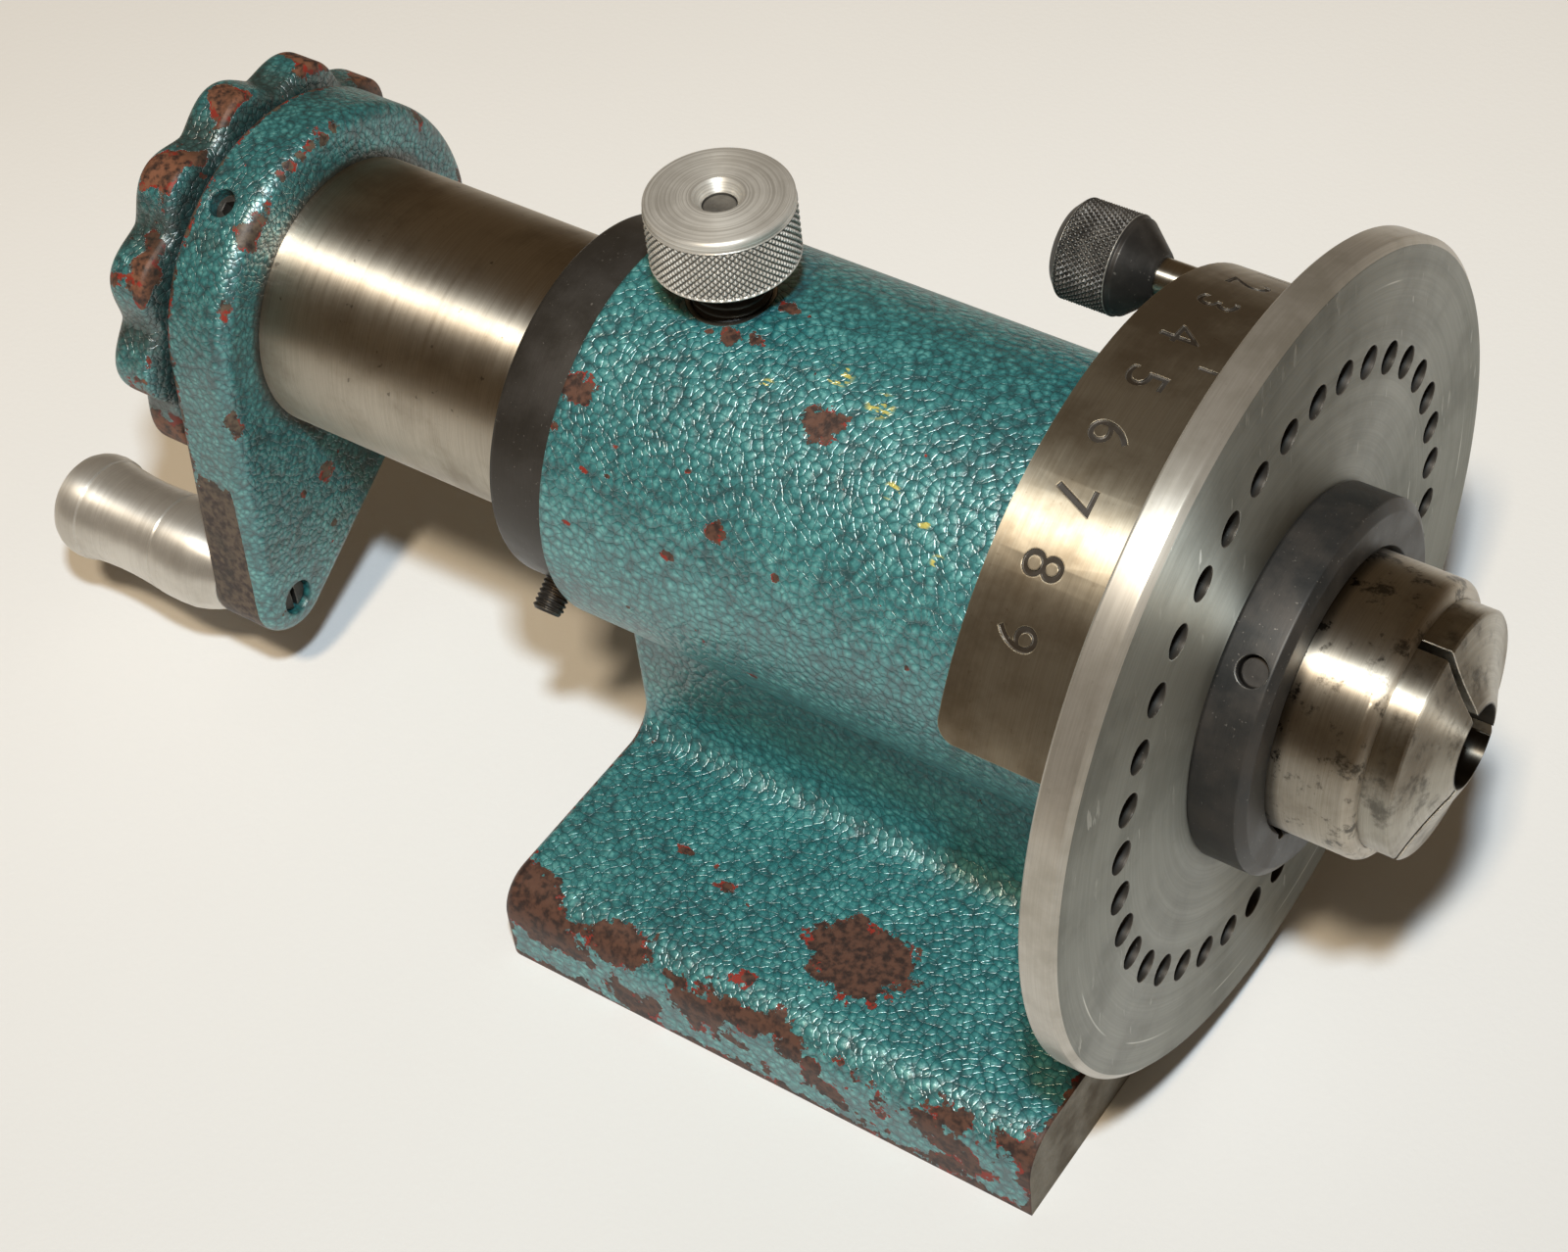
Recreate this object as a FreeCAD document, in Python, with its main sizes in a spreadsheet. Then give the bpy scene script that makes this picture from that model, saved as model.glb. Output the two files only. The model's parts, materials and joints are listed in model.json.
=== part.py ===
"""Collet spin index fixture: a cast stand with a hand-cranked hollow spindle and a 36-hole index plate.

Frame: +Z up, +X along the spindle towards its nose. The origin lies on the underside of the base, below the
spindle's axis and midway along the base. Lengths are in millimetres and angles in degrees.
Angles about the spindle count from +Y towards +Z.
"""
import FreeCAD, Part

import math
import os
import re

import Sketcher  # noqa: F401  (loads the Sketcher types)

X_AXIS = FreeCAD.Vector(1, 0, 0)

DIMENSIONS = {
    # stand
    "axis_height": 69.85,
    "base_length": 98.4,
    "base_width": 116.6,
    "base_thick": 16.0,
    "base_edge_round": 7.0,
    "base_rear_round": 2.2,
    "neck_width": 35.0,
    "foot_round": 5.0,
    "neck_round": 4.0,
    "barrel_radius": 32.7,
    "barrel_bore": 22.95,
    "flange_radius": 51.2,
    "flange_rear": 31.0,
    "flange_front": 52.0,
    "flange_half_angle": 69.5,
    "flange_corner_round": 3.0,
    "vernier_first": 40.5,
    "vernier_span": 99.0,
    "vernier_count": 10,
    # spindle and what is fixed to it
    "spindle_radius": 22.9,
    "spindle_rear": -124.0,
    "draw_bore": 18.56,
    "draw_bore_front": 30.0,
    "nose_radius": 20.95,
    "nose_front": 78.9,
    "nose_round": 1.8,
    "plate_face": 58.0,
    "plate_thick": 5.6,
    "plate_radius": 63.5,
    "plate_bevel": 0.8,
    "hole_circle": 46.2,
    "plate_hole": 2.5,
    "plate_holes": 36,
    "pin_angle": 51.5,
    "nut_radius": 28.45,
    "nut_length": 8.6,
    "nut_screw_angle": 133.0,
    "nut_screw_place": 62.9,
    "nut_screw": 2.5,
    "slide_fit": 0.02,
    # collar
    "collar_front": -49.5,
    "collar_rear": -61.1,
    "collar_radius": 30.0,
    "collar_screw": 2.5,
    "collar_screw_top": 35.3,
    "collar_screw_angle": -144.0,
    # crank
    "hub_front": -113.2,
    "hub_rear": -125.4,
    "hub_radius": 31.5,
    "hub_round": 3.0,
    "hub_screw": 2.4,
    "hub_screw_angle": 120.0,
    "hub_screw_from_rear": 4.8,
    "crank_angle": -121.6,
    "crank_throw": 54.0,
    "crank_tip": 8.0,
    "stud_thread": 3.15,
    "stud_shank": 4.0,
    "stud_head": 5.0,
    "grip_throw": 55.0,
    "grip_front": -125.7,
    "grip_rear": -164.0,
    # draw bar
    "wheel_front": -126.4,
    "wheel_rear": -139.6,
    "wheel_valley": 31.8,
    "lobe_radius": 5.4,
    "lobe_circle": 29.1,
    "lobe_count": 12,
    "tube_radius": 18.5,
    "tube_bore": 14.5,
    "tube_front": 26.0,
    # collet
    "collet_face": 87.3,
    "collet_rim": 83.5,
    "collet_head": 18.54,
    "collet_head_rear": 77.6,
    "collet_body": 15.875,
    "collet_taper_rear": 62.5,
    "collet_thread": 15.7,
    "collet_thread_front": 26.4,
    "collet_rear": 4.5,
    "collet_bore": 6.35,
    "collet_relief": 13.0,
    "collet_bore_length": 30.0,
    "collet_slot": 1.5,
    "collet_slot_angle": 97.0,
    "collet_fit": 0.05,
    "key_place": 50.0,
    "key_radius": 2.0,
    "key_angle": 157.0,
    # index pin
    "pin_radius": 3.0,
    "pin_hole": 3.04,
    "pin_tip": 2.45,
    "pin_tip_end": 49.5,
    "pin_tip_length": 6.0,
    "pin_knob": 7.7,
    "pin_knob_rear": 7.3,
    "pin_knob_front": 22.5,
    # spindle lock
    "lock_place": -33.2,
    "lock_thread": 6.1,
    "lock_hole": 6.16,
    "lock_pad_foot": 23.05,
    "lock_pad_top": 26.0,
    "lock_knob": 11.2,
    "lock_knob_foot": 40.0,
    "lock_knob_top": 51.4,
    "lock_knob_round": 1.2,
}

document = FreeCAD.newDocument("spin_index")
sheet = document.addObject("Spreadsheet::Sheet", "dims")
for row, (alias, size) in enumerate(DIMENSIONS.items(), start=1):
    sheet.set(f"A{row}", alias)
    sheet.set(f"B{row}", str(size))
    sheet.setAlias(f"B{row}", alias)
document.recompute()

BODIES = []


def linked(formula):
    """A formula of sheet aliases, written as an expression that reads the sheet."""
    return re.sub(r"[a-z_]+", lambda word: f"dims.{word[0]}" if word[0] in DIMENSIONS else word[0], str(formula))


def value(formula):
    """The number that a formula gives now."""
    return float(sheet.evalExpression(str(formula)))


def new_body(label, centre=("0", "0", "axis_height"), turn="0"):
    """A body placed at centre, turned by an angle about its own X axis."""
    body = document.addObject("PartDesign::Body", label)
    body.Label = label
    body.Placement = FreeCAD.Placement(FreeCAD.Vector(0, 0, 0), FreeCAD.Rotation(X_AXIS, 0.001))
    for letter, formula in zip("xyz", centre):
        body.setExpression(f".Placement.Base.{letter}", linked(formula))
    body.setExpression(".Placement.Rotation.Angle", linked(turn))
    BODIES.append(body)
    return body


def new_sketch(body, plane="XY_Plane", lift="0", turn="0"):
    """A sketch on an origin plane, lifted along its normal, after a turn about the plane's own X direction."""
    sketch = body.newObject("Sketcher::SketchObject", f"{body.Label}_outline")
    support = [item for item in body.Origin.OriginFeatures if item.Role == plane][0]
    sketch.AttachmentSupport = [(support, "")]
    sketch.MapMode = "FlatFace"
    sketch.AttachmentOffset = FreeCAD.Placement(FreeCAD.Vector(), FreeCAD.Rotation(X_AXIS, 0.001))
    sketch.setExpression(".AttachmentOffset.Rotation.Angle", linked(turn))
    sketch.setExpression(".AttachmentOffset.Base.y", linked(f"-({lift}) * sin({turn})"))
    sketch.setExpression(".AttachmentOffset.Base.z", linked(f"({lift}) * cos({turn})"))
    return sketch


def pin_point(sketch, geometry, vertex, place):
    """Hold a vertex at a place given by two formulas."""
    for kind, axis, formula in (("DistanceX", -2, place[0]), ("DistanceY", -1, place[1])):
        if str(formula) == "0":
            sketch.addConstraint(Sketcher.Constraint("PointOnObject", geometry, vertex, axis))
            continue
        size = value(formula)
        index = sketch.addConstraint(Sketcher.Constraint(kind, -1, 1, geometry, vertex, size))
        sketch.setExpression(f"Constraints[{index}]", linked(formula))


def circle(sketch, centre, radius):
    """A circle whose centre and radius follow formulas."""
    middle = FreeCAD.Vector(value(centre[0]), value(centre[1]), 0)
    ring = sketch.addGeometry(Part.Circle(middle, FreeCAD.Vector(0, 0, 1), value(radius)), False)
    pin_point(sketch, ring, 3, centre)
    index = sketch.addConstraint(Sketcher.Constraint("Radius", ring, value(radius)))
    sketch.setExpression(f"Constraints[{index}]", linked(radius))
    return ring


def arc_through(start, end, radius, side):
    """An arc of a radius from start to end; side says which way its middle leaves the chord."""
    chord = end - start
    middle = (start + end) * 0.5
    across = FreeCAD.Vector(-chord.y, chord.x, 0).normalize()
    rise = radius - math.sqrt(radius * radius - chord.Length ** 2 / 4)
    return Part.Arc(start, middle + across * (rise * side), end)


def outline(sketch, places, arcs=None):
    """A closed outline through places; arcs maps a side's number to its radius formula and its side."""
    arcs = arcs or {}
    points = [FreeCAD.Vector(value(x), value(y), 0) for x, y in places]
    count = len(points)
    sides = []
    for number in range(count):
        start, end = points[number], points[(number + 1) % count]
        if number in arcs:
            radius, side = arcs[number]
            shape = arc_through(start, end, value(radius), side)
        else:
            shape = Part.LineSegment(start, end)
        sides.append(sketch.addGeometry(shape, False))
    ends = []
    for number, item in enumerate(sides):
        first = sketch.getPoint(item, 1)
        turned_round = first.distanceToPoint(points[number]) > 1e-6
        ends.append((2, 1) if turned_round else (1, 2))
    for number, item in enumerate(sides):
        following = (number + 1) % count
        sketch.addConstraint(
            Sketcher.Constraint("Coincident", item, ends[number][1], sides[following], ends[following][0])
        )
        pin_point(sketch, item, ends[number][0], places[number])
        if number in arcs:
            radius = arcs[number][0]
            index = sketch.addConstraint(Sketcher.Constraint("Radius", item, value(radius)))
            sketch.setExpression(f"Constraints[{index}]", linked(radius))


def revolve(body, sketch, kind="Revolution", axis="H_Axis"):
    """Turn a sketch's outline once round one of its axes."""
    feature = body.newObject(f"PartDesign::{kind}", f"{body.Label}_{kind.lower()}")
    feature.Profile = sketch
    feature.ReferenceAxis = (sketch, [axis])
    feature.Angle = 360
    return feature


def extrude(body, sketch, length, kind="Pad", both_ways=False, reverse=False):
    """Pad or pocket a sketch by a length, to one side or evenly to both."""
    feature = body.newObject(f"PartDesign::{kind}", f"{body.Label}_{kind.lower()}")
    feature.Profile = sketch
    feature.setExpression("Length", linked(length))
    feature.Reversed = reverse
    if both_ways:
        feature.SideType = "Symmetric"
    return feature


def turned(label, places, arcs=None, **placing):
    """A body turned on a lathe: its half section is an outline of places along and out from the X axis."""
    body = new_body(label, **placing)
    sketch = new_sketch(body)
    outline(sketch, places, arcs)
    revolve(body, sketch)
    return body


def ring(label, rear, front, bore, radius, bevel="0.4", **placing):
    """A turned ring with both outer edges bevelled."""
    places = [
        (rear, bore),
        (front, bore),
        (front, f"{radius} - {bevel}"),
        (f"{front} - {bevel}", radius),
        (f"{rear} + {bevel}", radius),
        (rear, f"{radius} - {bevel}"),
    ]
    return turned(label, places, **placing)


def axial_holes(body, centre, radius, middle, length, count=None, span="360"):
    """Holes along X at a sketched centre, repeated round the X axis over a span."""
    sketch = new_sketch(body, "YZ_Plane", lift=middle)
    circle(sketch, centre, radius)
    pocket = extrude(body, sketch, length, "Pocket", both_ways=True)
    if count is not None:
        repeat(body, pocket, count, span)
    return pocket


def repeat(body, feature, count, span="360"):
    """Repeat a feature round the body's X axis."""
    pattern = body.newObject("PartDesign::PolarPattern", f"{body.Label}_pattern")
    pattern.Originals = [feature]
    axis = [item for item in body.Origin.OriginFeatures if item.Role == "X_Axis"][0]
    pattern.Axis = (axis, [""])
    pattern.setExpression("Angle", linked(span))
    pattern.setExpression("Occurrences", linked(count))
    body.Tip = pattern
    return pattern


def radial_hole(body, place, angle, radius, inner, outer):
    """A hole at a place along X, pointing out at an angle about X, from an inner to an outer radius."""
    sketch = new_sketch(body, lift=inner, turn=f"({angle}) - 90")
    circle(sketch, (place, "0"), radius)
    return extrude(body, sketch, f"({outer}) - ({inner})", "Pocket", reverse=True)


def matching_edges(shape, test):
    """The names of the edges for which test(edge) is true."""
    return [f"Edge{number}" for number, edge in enumerate(shape.Edges, start=1) if test(edge)]


def round_edges(body, radius, test, kind="Fillet"):
    """Fillet or chamfer the edges of a body that pass a test."""
    document.recompute()
    feature = body.newObject(f"PartDesign::{kind}", f"{body.Label}_{kind.lower()}")
    feature.Base = (body.Tip if body.Tip != feature else body.Group[-2], matching_edges(body.Shape, test))
    feature.setExpression("Radius" if kind == "Fillet" else "Size", linked(radius))
    body.Tip = feature
    document.recompute()
    return feature


def near(number, target, slack=0.05):
    return abs(number - target) < slack


# ---------------------------------------------------------------------------- stand


def make_casting():
    """Base, neck, barrel and index flange in one casting, with the barrel bored and the flange drilled."""
    body = new_body("housing_casting", centre=("0", "0", "0"))
    half_length, half_width, half_neck = "base_length / 2", "base_width / 2", "neck_width / 2"
    out = f"({half_neck} + neck_round)"
    down = f"sqrt((barrel_radius + neck_round)^2 - {out}^2)"
    share = "barrel_radius / (barrel_radius + neck_round)"
    right_side = [
        (half_width, "0"),
        (half_width, "base_thick - base_edge_round"),
        (f"{half_width} - base_edge_round", "base_thick"),
        (f"{half_neck} + foot_round", "base_thick"),
        (half_neck, "base_thick + foot_round"),
        (half_neck, f"axis_height - {down}"),
        (f"{out} * {share}", f"axis_height - {down} * {share}"),
        (half_neck, "axis_height - barrel_bore"),
    ]
    left_side = [(f"-({y})", z) for y, z in reversed(right_side)]
    sketch = new_sketch(body, "YZ_Plane", lift=f"-{half_length}")
    rounds = {
        1: ("base_edge_round", -1),
        3: ("foot_round", 1),
        5: ("neck_round", 1),
        9: ("neck_round", 1),
        11: ("foot_round", 1),
        13: ("base_edge_round", -1),
    }
    outline(sketch, right_side + left_side, rounds)
    extrude(body, sketch, "base_length")
    rear = -value(half_length)
    round_edges(body, "base_rear_round", lambda e: near(e.BoundBox.XMax, rear) and e.BoundBox.ZMax > 1)
    sketch = new_sketch(body, "YZ_Plane", lift=f"-{half_length}")
    circle(sketch, ("0", "axis_height"), "barrel_radius")
    extrude(body, sketch, f"{half_length} + flange_front")
    sketch = new_sketch(body, "YZ_Plane", lift="flange_rear")
    flange_sector(sketch)
    extrude(body, sketch, "flange_front - flange_rear")
    flange_rear, height = value("flange_rear"), value("axis_height")
    round_edges(
        body,
        "flange_corner_round",
        lambda e: near(e.BoundBox.XMax, flange_rear)
        and near(e.BoundBox.XLength, 0)
        and e.Curve.TypeId == "Part::GeomLine"
        and e.CenterOfMass.z > height,
    )
    sketch = new_sketch(body, "YZ_Plane", lift=f"-{half_length}")
    circle(sketch, ("0", "axis_height"), "barrel_bore")
    extrude(body, sketch, f"{half_length} + flange_front", "Pocket", reverse=True)
    sketch = new_sketch(body, lift="axis_height")
    circle(sketch, ("lock_place", "0"), "lock_hole")
    extrude(body, sketch, "barrel_radius", "Pocket", reverse=True)
    for number in range(value_count("vernier_count")):
        angle = f"(vernier_first + {number} * vernier_span / (vernier_count - 1))"
        centre = (f"hole_circle * cos({angle})", f"axis_height + hole_circle * sin({angle})")
        sketch = new_sketch(body, "YZ_Plane", lift="flange_rear")
        circle(sketch, centre, "pin_hole")
        extrude(body, sketch, "flange_front - flange_rear", "Pocket", reverse=True)
    return body


def value_count(alias):
    return int(round(value(alias)))


def flange_sector(sketch):
    """The flange's outline: a sector of the flange circle, cut inside the barrel's wall."""
    inner = "(barrel_radius - 4)"
    near_side = "(90 + flange_half_angle)"
    far_side = "(90 - flange_half_angle)"
    places = [
        (f"{inner} * cos({far_side})", f"axis_height + {inner} * sin({far_side})"),
        (f"flange_radius * cos({far_side})", f"axis_height + flange_radius * sin({far_side})"),
        ("0", "axis_height + flange_radius"),
        (f"flange_radius * cos({near_side})", f"axis_height + flange_radius * sin({near_side})"),
        (f"{inner} * cos({near_side})", f"axis_height + {inner} * sin({near_side})"),
    ]
    outline(sketch, places, arcs={1: ("flange_radius", -1), 2: ("flange_radius", -1)})


# ---------------------------------------------------------------------------- spindle body


def make_spindle():
    """Hollow spindle: shoulder for the plate, plain nose, tapered collet seat and a wide rear bore."""
    places = [
        ("spindle_rear", "draw_bore"),
        ("draw_bore_front", "draw_bore"),
        ("draw_bore_front", "collet_body + collet_fit"),
        ("collet_taper_rear", "collet_body + collet_fit"),
        ("collet_head_rear", "collet_head + collet_fit"),
        ("nose_front", "collet_head + collet_fit"),
        ("nose_front", "nose_radius - nose_round"),
        ("nose_front - nose_round", "nose_radius"),
        ("plate_face - plate_thick", "nose_radius"),
        ("plate_face - plate_thick", "spindle_radius - 0.4"),
        ("plate_face - plate_thick - 0.4", "spindle_radius"),
        ("spindle_rear + 0.5", "spindle_radius"),
        ("spindle_rear", "spindle_radius - 0.5"),
    ]
    body = turned("spindle_tube", places, arcs={6: ("nose_round", -1)})
    radial_hole(body, "key_place", "key_angle", "key_radius + slide_fit", "collet_body", "spindle_radius + 1")
    return body


def make_collet_key():
    """A dog-point screw in the spindle's wall, which keeps the collet from turning."""
    body = new_body("collet_key", turn="key_angle - 90")
    sketch = new_sketch(body, lift="collet_body - 1")
    circle(sketch, ("key_place", "0"), "key_radius")
    extrude(body, sketch, "spindle_radius - 0.4 - collet_body + 1")
    return body


def make_plate():
    """Index plate: a disc with bevelled rims and a ring of holes."""
    body = ring(
        "index_plate",
        "plate_face - plate_thick",
        "plate_face",
        "nose_radius + slide_fit",
        "plate_radius",
        bevel="plate_bevel",
    )
    centre = ("hole_circle * cos(pin_angle)", "hole_circle * sin(pin_angle)")
    axial_holes(body, centre, "plate_hole", "plate_face", "3 * plate_thick", "plate_holes")
    return body


def make_nut():
    """Black hub nut that holds the plate against the spindle's shoulder, with a radial screw hole."""
    front = "plate_face + nut_length"
    places = [
        ("plate_face", "nose_radius + slide_fit"),
        (f"{front} - 1.2", "nose_radius + slide_fit"),
        (front, "nose_radius + 0.8"),
        (front, "nut_radius - 1.6"),
        (f"{front} - 0.9", "nut_radius"),
        ("plate_face + 0.3", "nut_radius"),
        ("plate_face", "nut_radius - 0.3"),
    ]
    body = turned("hub_nut", places)
    radial_hole(
        body,
        "nut_screw_place",
        "nut_screw_angle",
        "nut_screw + slide_fit",
        "nose_radius - 1",
        "nut_radius + 1",
    )
    return body


def grub_screw(label, place, angle, radius, inner, outer, socket="1.2"):
    """A headless screw standing out from the X axis at an angle, with a socket in its outer end."""
    body = new_body(label, turn=f"({angle}) - 90")
    screw_stem(body, place, radius, inner, outer)
    sketch = new_sketch(body, lift=f"({outer}) - ({radius})")
    hexagon(sketch, place, socket)
    extrude(body, sketch, f"{radius}", "Pocket", reverse=True)
    return body


def screw_stem(body, place, radius, inner, outer):
    """A round stem along the body's own Z from an inner to an outer radius, with its foot bevelled."""
    sketch = new_sketch(body, "XZ_Plane")
    places = [
        (place, inner),
        (f"{place} + {radius} - 0.5", inner),
        (f"{place} + {radius}", f"{inner} + 0.5"),
        (f"{place} + {radius}", outer),
        (place, outer),
    ]
    outline(sketch, places)
    line = sketch.addGeometry(
        Part.LineSegment(
            FreeCAD.Vector(value(place), value(inner), 0), FreeCAD.Vector(value(place), value(outer), 0)
        ),
        True,
    )
    pin_point(sketch, line, 1, (place, inner))
    pin_point(sketch, line, 2, (place, outer))
    revolve(body, sketch, axis="Axis0")


def hexagon(sketch, place, radius):
    """A regular hexagon about a place on the sketch's X axis."""
    places = []
    for corner in range(6):
        angle = 60 * corner + 30
        places.append((f"{place} + {radius} * cos({angle})", f"{radius} * sin({angle})"))
    outline(sketch, places)


def make_crank():
    """Crank casting: a round hub with an arm that tapers to the handle's boss."""
    body = new_body("crank_casting", turn="crank_angle + 90")
    sketch = new_sketch(body, "YZ_Plane", lift="hub_rear")
    crank_outline(sketch)
    extrude(body, sketch, "hub_front - hub_rear")
    rear, front = value("hub_rear"), value("hub_front")
    round_edges(body, "hub_round", lambda e: near(e.BoundBox.XMin, front))
    round_edges(body, "1.2", lambda e: near(e.BoundBox.XMax, rear))
    sketch = new_sketch(body, "YZ_Plane", lift="hub_rear")
    circle(sketch, ("0", "0"), "spindle_radius + slide_fit")
    circle(sketch, ("0", "-grip_throw"), "stud_thread + slide_fit")
    extrude(body, sketch, "hub_front - hub_rear", "Pocket", reverse=True)
    radial_hole(
        body,
        "hub_rear + hub_screw_from_rear",
        "hub_screw_angle - crank_angle - 90",
        "hub_screw + slide_fit",
        "spindle_radius - 1",
        "hub_radius + 1",
    )
    return body


def crank_outline(sketch):
    """Two arcs joined by their common tangents, the hub's about the axis and the tip's below it."""
    lean = "acos((hub_radius - crank_tip) / crank_throw)"
    places = [
        (f"hub_radius * sin({lean})", f"-hub_radius * cos({lean})"),
        ("0", "hub_radius"),
        (f"-hub_radius * sin({lean})", f"-hub_radius * cos({lean})"),
        (f"-crank_tip * sin({lean})", f"-crank_throw - crank_tip * cos({lean})"),
        (f"crank_tip * sin({lean})", f"-crank_throw - crank_tip * cos({lean})"),
    ]
    middle = FreeCAD.Vector(0, -value("crank_throw") - value("crank_tip"), 0)
    points = [FreeCAD.Vector(value(x), value(y), 0) for x, y in places]
    over = FreeCAD.Vector(value("hub_radius"), 0, 0)
    shapes = [
        Part.Arc(points[0], over, points[1]),
        Part.Arc(points[1], -over, points[2]),
        Part.LineSegment(points[2], points[3]),
        Part.Arc(points[3], middle, points[4]),
        Part.LineSegment(points[4], points[0]),
    ]
    for number, shape in enumerate(shapes):
        item = sketch.addGeometry(shape, False)
        start = 1 if sketch.getPoint(item, 1).distanceToPoint(points[number]) < 1e-6 else 2
        pin_point(sketch, item, start, places[number])
        pin_point(sketch, item, 3 - start, places[(number + 1) % len(places)])
        if number in (0, 1, 3):
            radius = "crank_tip" if number == 3 else "hub_radius"
            index = sketch.addConstraint(Sketcher.Constraint("Radius", item, value(radius)))
            sketch.setExpression(f"Constraints[{index}]", linked(radius))


CRANK_PIN = ("0", "grip_throw * cos(crank_angle)", "axis_height + grip_throw * sin(crank_angle)")


def make_handle_screw():
    """Long screw that carries the grip: threaded into the arm, slotted where it ends in the arm's face."""
    places = [
        ("grip_rear + 1", "0"),
        ("hub_front - 1.2", "0"),
        ("hub_front - 1.2", "stud_thread - 0.5"),
        ("hub_front - 1.7", "stud_thread"),
        ("hub_rear", "stud_thread"),
        ("hub_rear", "stud_shank"),
        ("grip_rear + 5", "stud_shank"),
        ("grip_rear + 5", "stud_head"),
        ("grip_rear + 1.5", "stud_head"),
        ("grip_rear + 1", "stud_head - 0.5"),
    ]
    body = turned("handle_screw", places, centre=CRANK_PIN)
    for middle, width, depth in (("hub_front - 1.2", "1", "3"), ("grip_rear + 1", "1.4", "3")):
        sketch = new_sketch(body, "YZ_Plane", lift=middle)
        half, reach = f"({width}) / 2", "stud_head + 1"
        outline(sketch, [(f"-{half}", f"-{reach}"), (half, f"-{reach}"), (half, reach), (f"-{half}", reach)])
        extrude(body, sketch, depth, "Pocket", both_ways=True)
    return body


def make_grip():
    """Crank handle: two rounded bulbs with a waist between them, bored for its screw."""
    bore = "stud_shank + 0.06"
    head_bore = "stud_head + 0.1"
    places = [
        ("grip_rear + 5.1", bore),
        ("grip_front", bore),
        ("grip_front", "7.0"),
        ("grip_front - 0.6", "7.6"),
        ("grip_front - 13.8", "8.8"),
        ("grip_front - 30.3", "9.0"),
        ("grip_rear + 3", "8.9"),
        ("grip_rear", "5.7"),
        ("grip_rear", head_bore),
        ("grip_rear + 5.1", head_bore),
    ]
    arcs = {3: ("18", 1), 4: ("68", -1), 5: ("9.8", 1), 6: ("4.4", 1)}
    return turned("crank_grip", places, arcs, centre=CRANK_PIN)


# ---------------------------------------------------------------------------- draw bar and collet


def make_wheel():
    """Lobed handwheel: a bored disc with a ring of rounded lobes."""
    places = [
        ("wheel_rear", "tube_radius + slide_fit"),
        ("wheel_front", "tube_radius + slide_fit"),
        ("wheel_front", "wheel_valley - 4"),
        ("wheel_front - 3", "wheel_valley"),
        ("wheel_rear + 4", "wheel_valley"),
        ("wheel_rear", "wheel_valley - 5"),
    ]
    body = turned("draw_handwheel", places, arcs={2: ("5", 1), 4: ("6", 1)})
    sketch = new_sketch(body)
    crown = "lobe_circle + lobe_radius"
    lobe = [
        ("wheel_rear + 0.4", "lobe_circle"),
        ("wheel_rear + 0.4", f"{crown} - 4"),
        ("wheel_rear + 4.4", crown),
        ("wheel_front - 3.4", crown),
        ("wheel_front - 0.9", f"{crown} - 2.5"),
        ("wheel_front - 0.9", "lobe_circle"),
    ]
    outline(sketch, lobe, arcs={1: ("4", 1), 3: ("2.5", 1)})
    line = sketch.addGeometry(
        Part.LineSegment(
            FreeCAD.Vector(value("wheel_rear"), value("lobe_circle"), 0),
            FreeCAD.Vector(value("wheel_front"), value("lobe_circle"), 0),
        ),
        True,
    )
    pin_point(sketch, line, 1, ("wheel_rear", "lobe_circle"))
    pin_point(sketch, line, 2, ("wheel_front", "lobe_circle"))
    lobes = revolve(body, sketch, axis="Axis0")
    repeat(body, lobes, "lobe_count")
    radial_hole(
        body,
        "(wheel_front + wheel_rear) / 2",
        "-75",
        "hub_screw + slide_fit",
        "tube_radius - 1",
        "lobe_circle + lobe_radius + 1",
    )
    return body


def make_draw_tube():
    """Draw tube: a socket that takes the collet's thread, and a plain bore for long stock."""
    places = [
        ("wheel_rear", "tube_bore"),
        ("collet_rear - 2", "tube_bore"),
        ("collet_rear - 2", "collet_thread + 0.06"),
        ("tube_front", "collet_thread + 0.06"),
        ("tube_front", "tube_radius - 0.4"),
        ("tube_front - 0.4", "tube_radius"),
        ("wheel_rear + 0.4", "tube_radius"),
        ("wheel_rear", "tube_radius - 0.4"),
    ]
    return turned("draw_tube", places)


def make_collet():
    """Spring collet: domed face, cylindrical rim, taper, body with a keyway, thread, and three slots."""
    places = [
        ("collet_rear", "collet_relief"),
        ("collet_face - collet_bore_length - 3", "collet_relief"),
        ("collet_face - collet_bore_length", "collet_bore"),
        ("collet_face", "collet_bore"),
        ("collet_face - 0.3", "collet_bore + 1.2"),
        ("collet_rim", "collet_head - 0.3"),
        ("collet_rim - 0.3", "collet_head"),
        ("collet_head_rear", "collet_head"),
        ("collet_taper_rear", "collet_body"),
        ("collet_thread_front", "collet_body"),
        ("collet_thread_front", "collet_thread"),
        ("collet_rear + 1", "collet_thread"),
        ("collet_rear", "collet_thread - 1"),
    ]
    body = turned("spring_collet", places, arcs={4: ("60", 1)})
    slot_start = "(collet_taper_rear - 24)"
    sketch = new_sketch(body, turn="collet_slot_angle - 90")
    half = "collet_slot / 2"
    corners = [
        (slot_start, f"-{half}"),
        ("collet_face + 1", f"-{half}"),
        ("collet_face + 1", half),
        (slot_start, half),
    ]
    outline(sketch, corners)
    slot = extrude(body, sketch, "collet_head + 1", "Pocket", reverse=True)
    repeat(body, slot, "3")
    sketch = new_sketch(body, lift="collet_body - 1.4", turn="key_angle - 90")
    reach = "(key_radius + 0.15)"
    corners = [
        ("collet_thread_front + 2", f"-{reach}"),
        ("key_place + 6", f"-{reach}"),
        ("key_place + 6", reach),
        ("collet_thread_front + 2", reach),
    ]
    outline(sketch, corners)
    extrude(body, sketch, "2", "Pocket", reverse=True)
    return body


# ---------------------------------------------------------------------------- index pin and lock


PIN_PLACE = ("0", "hole_circle * cos(pin_angle)", "axis_height + hole_circle * sin(pin_angle)")


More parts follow.
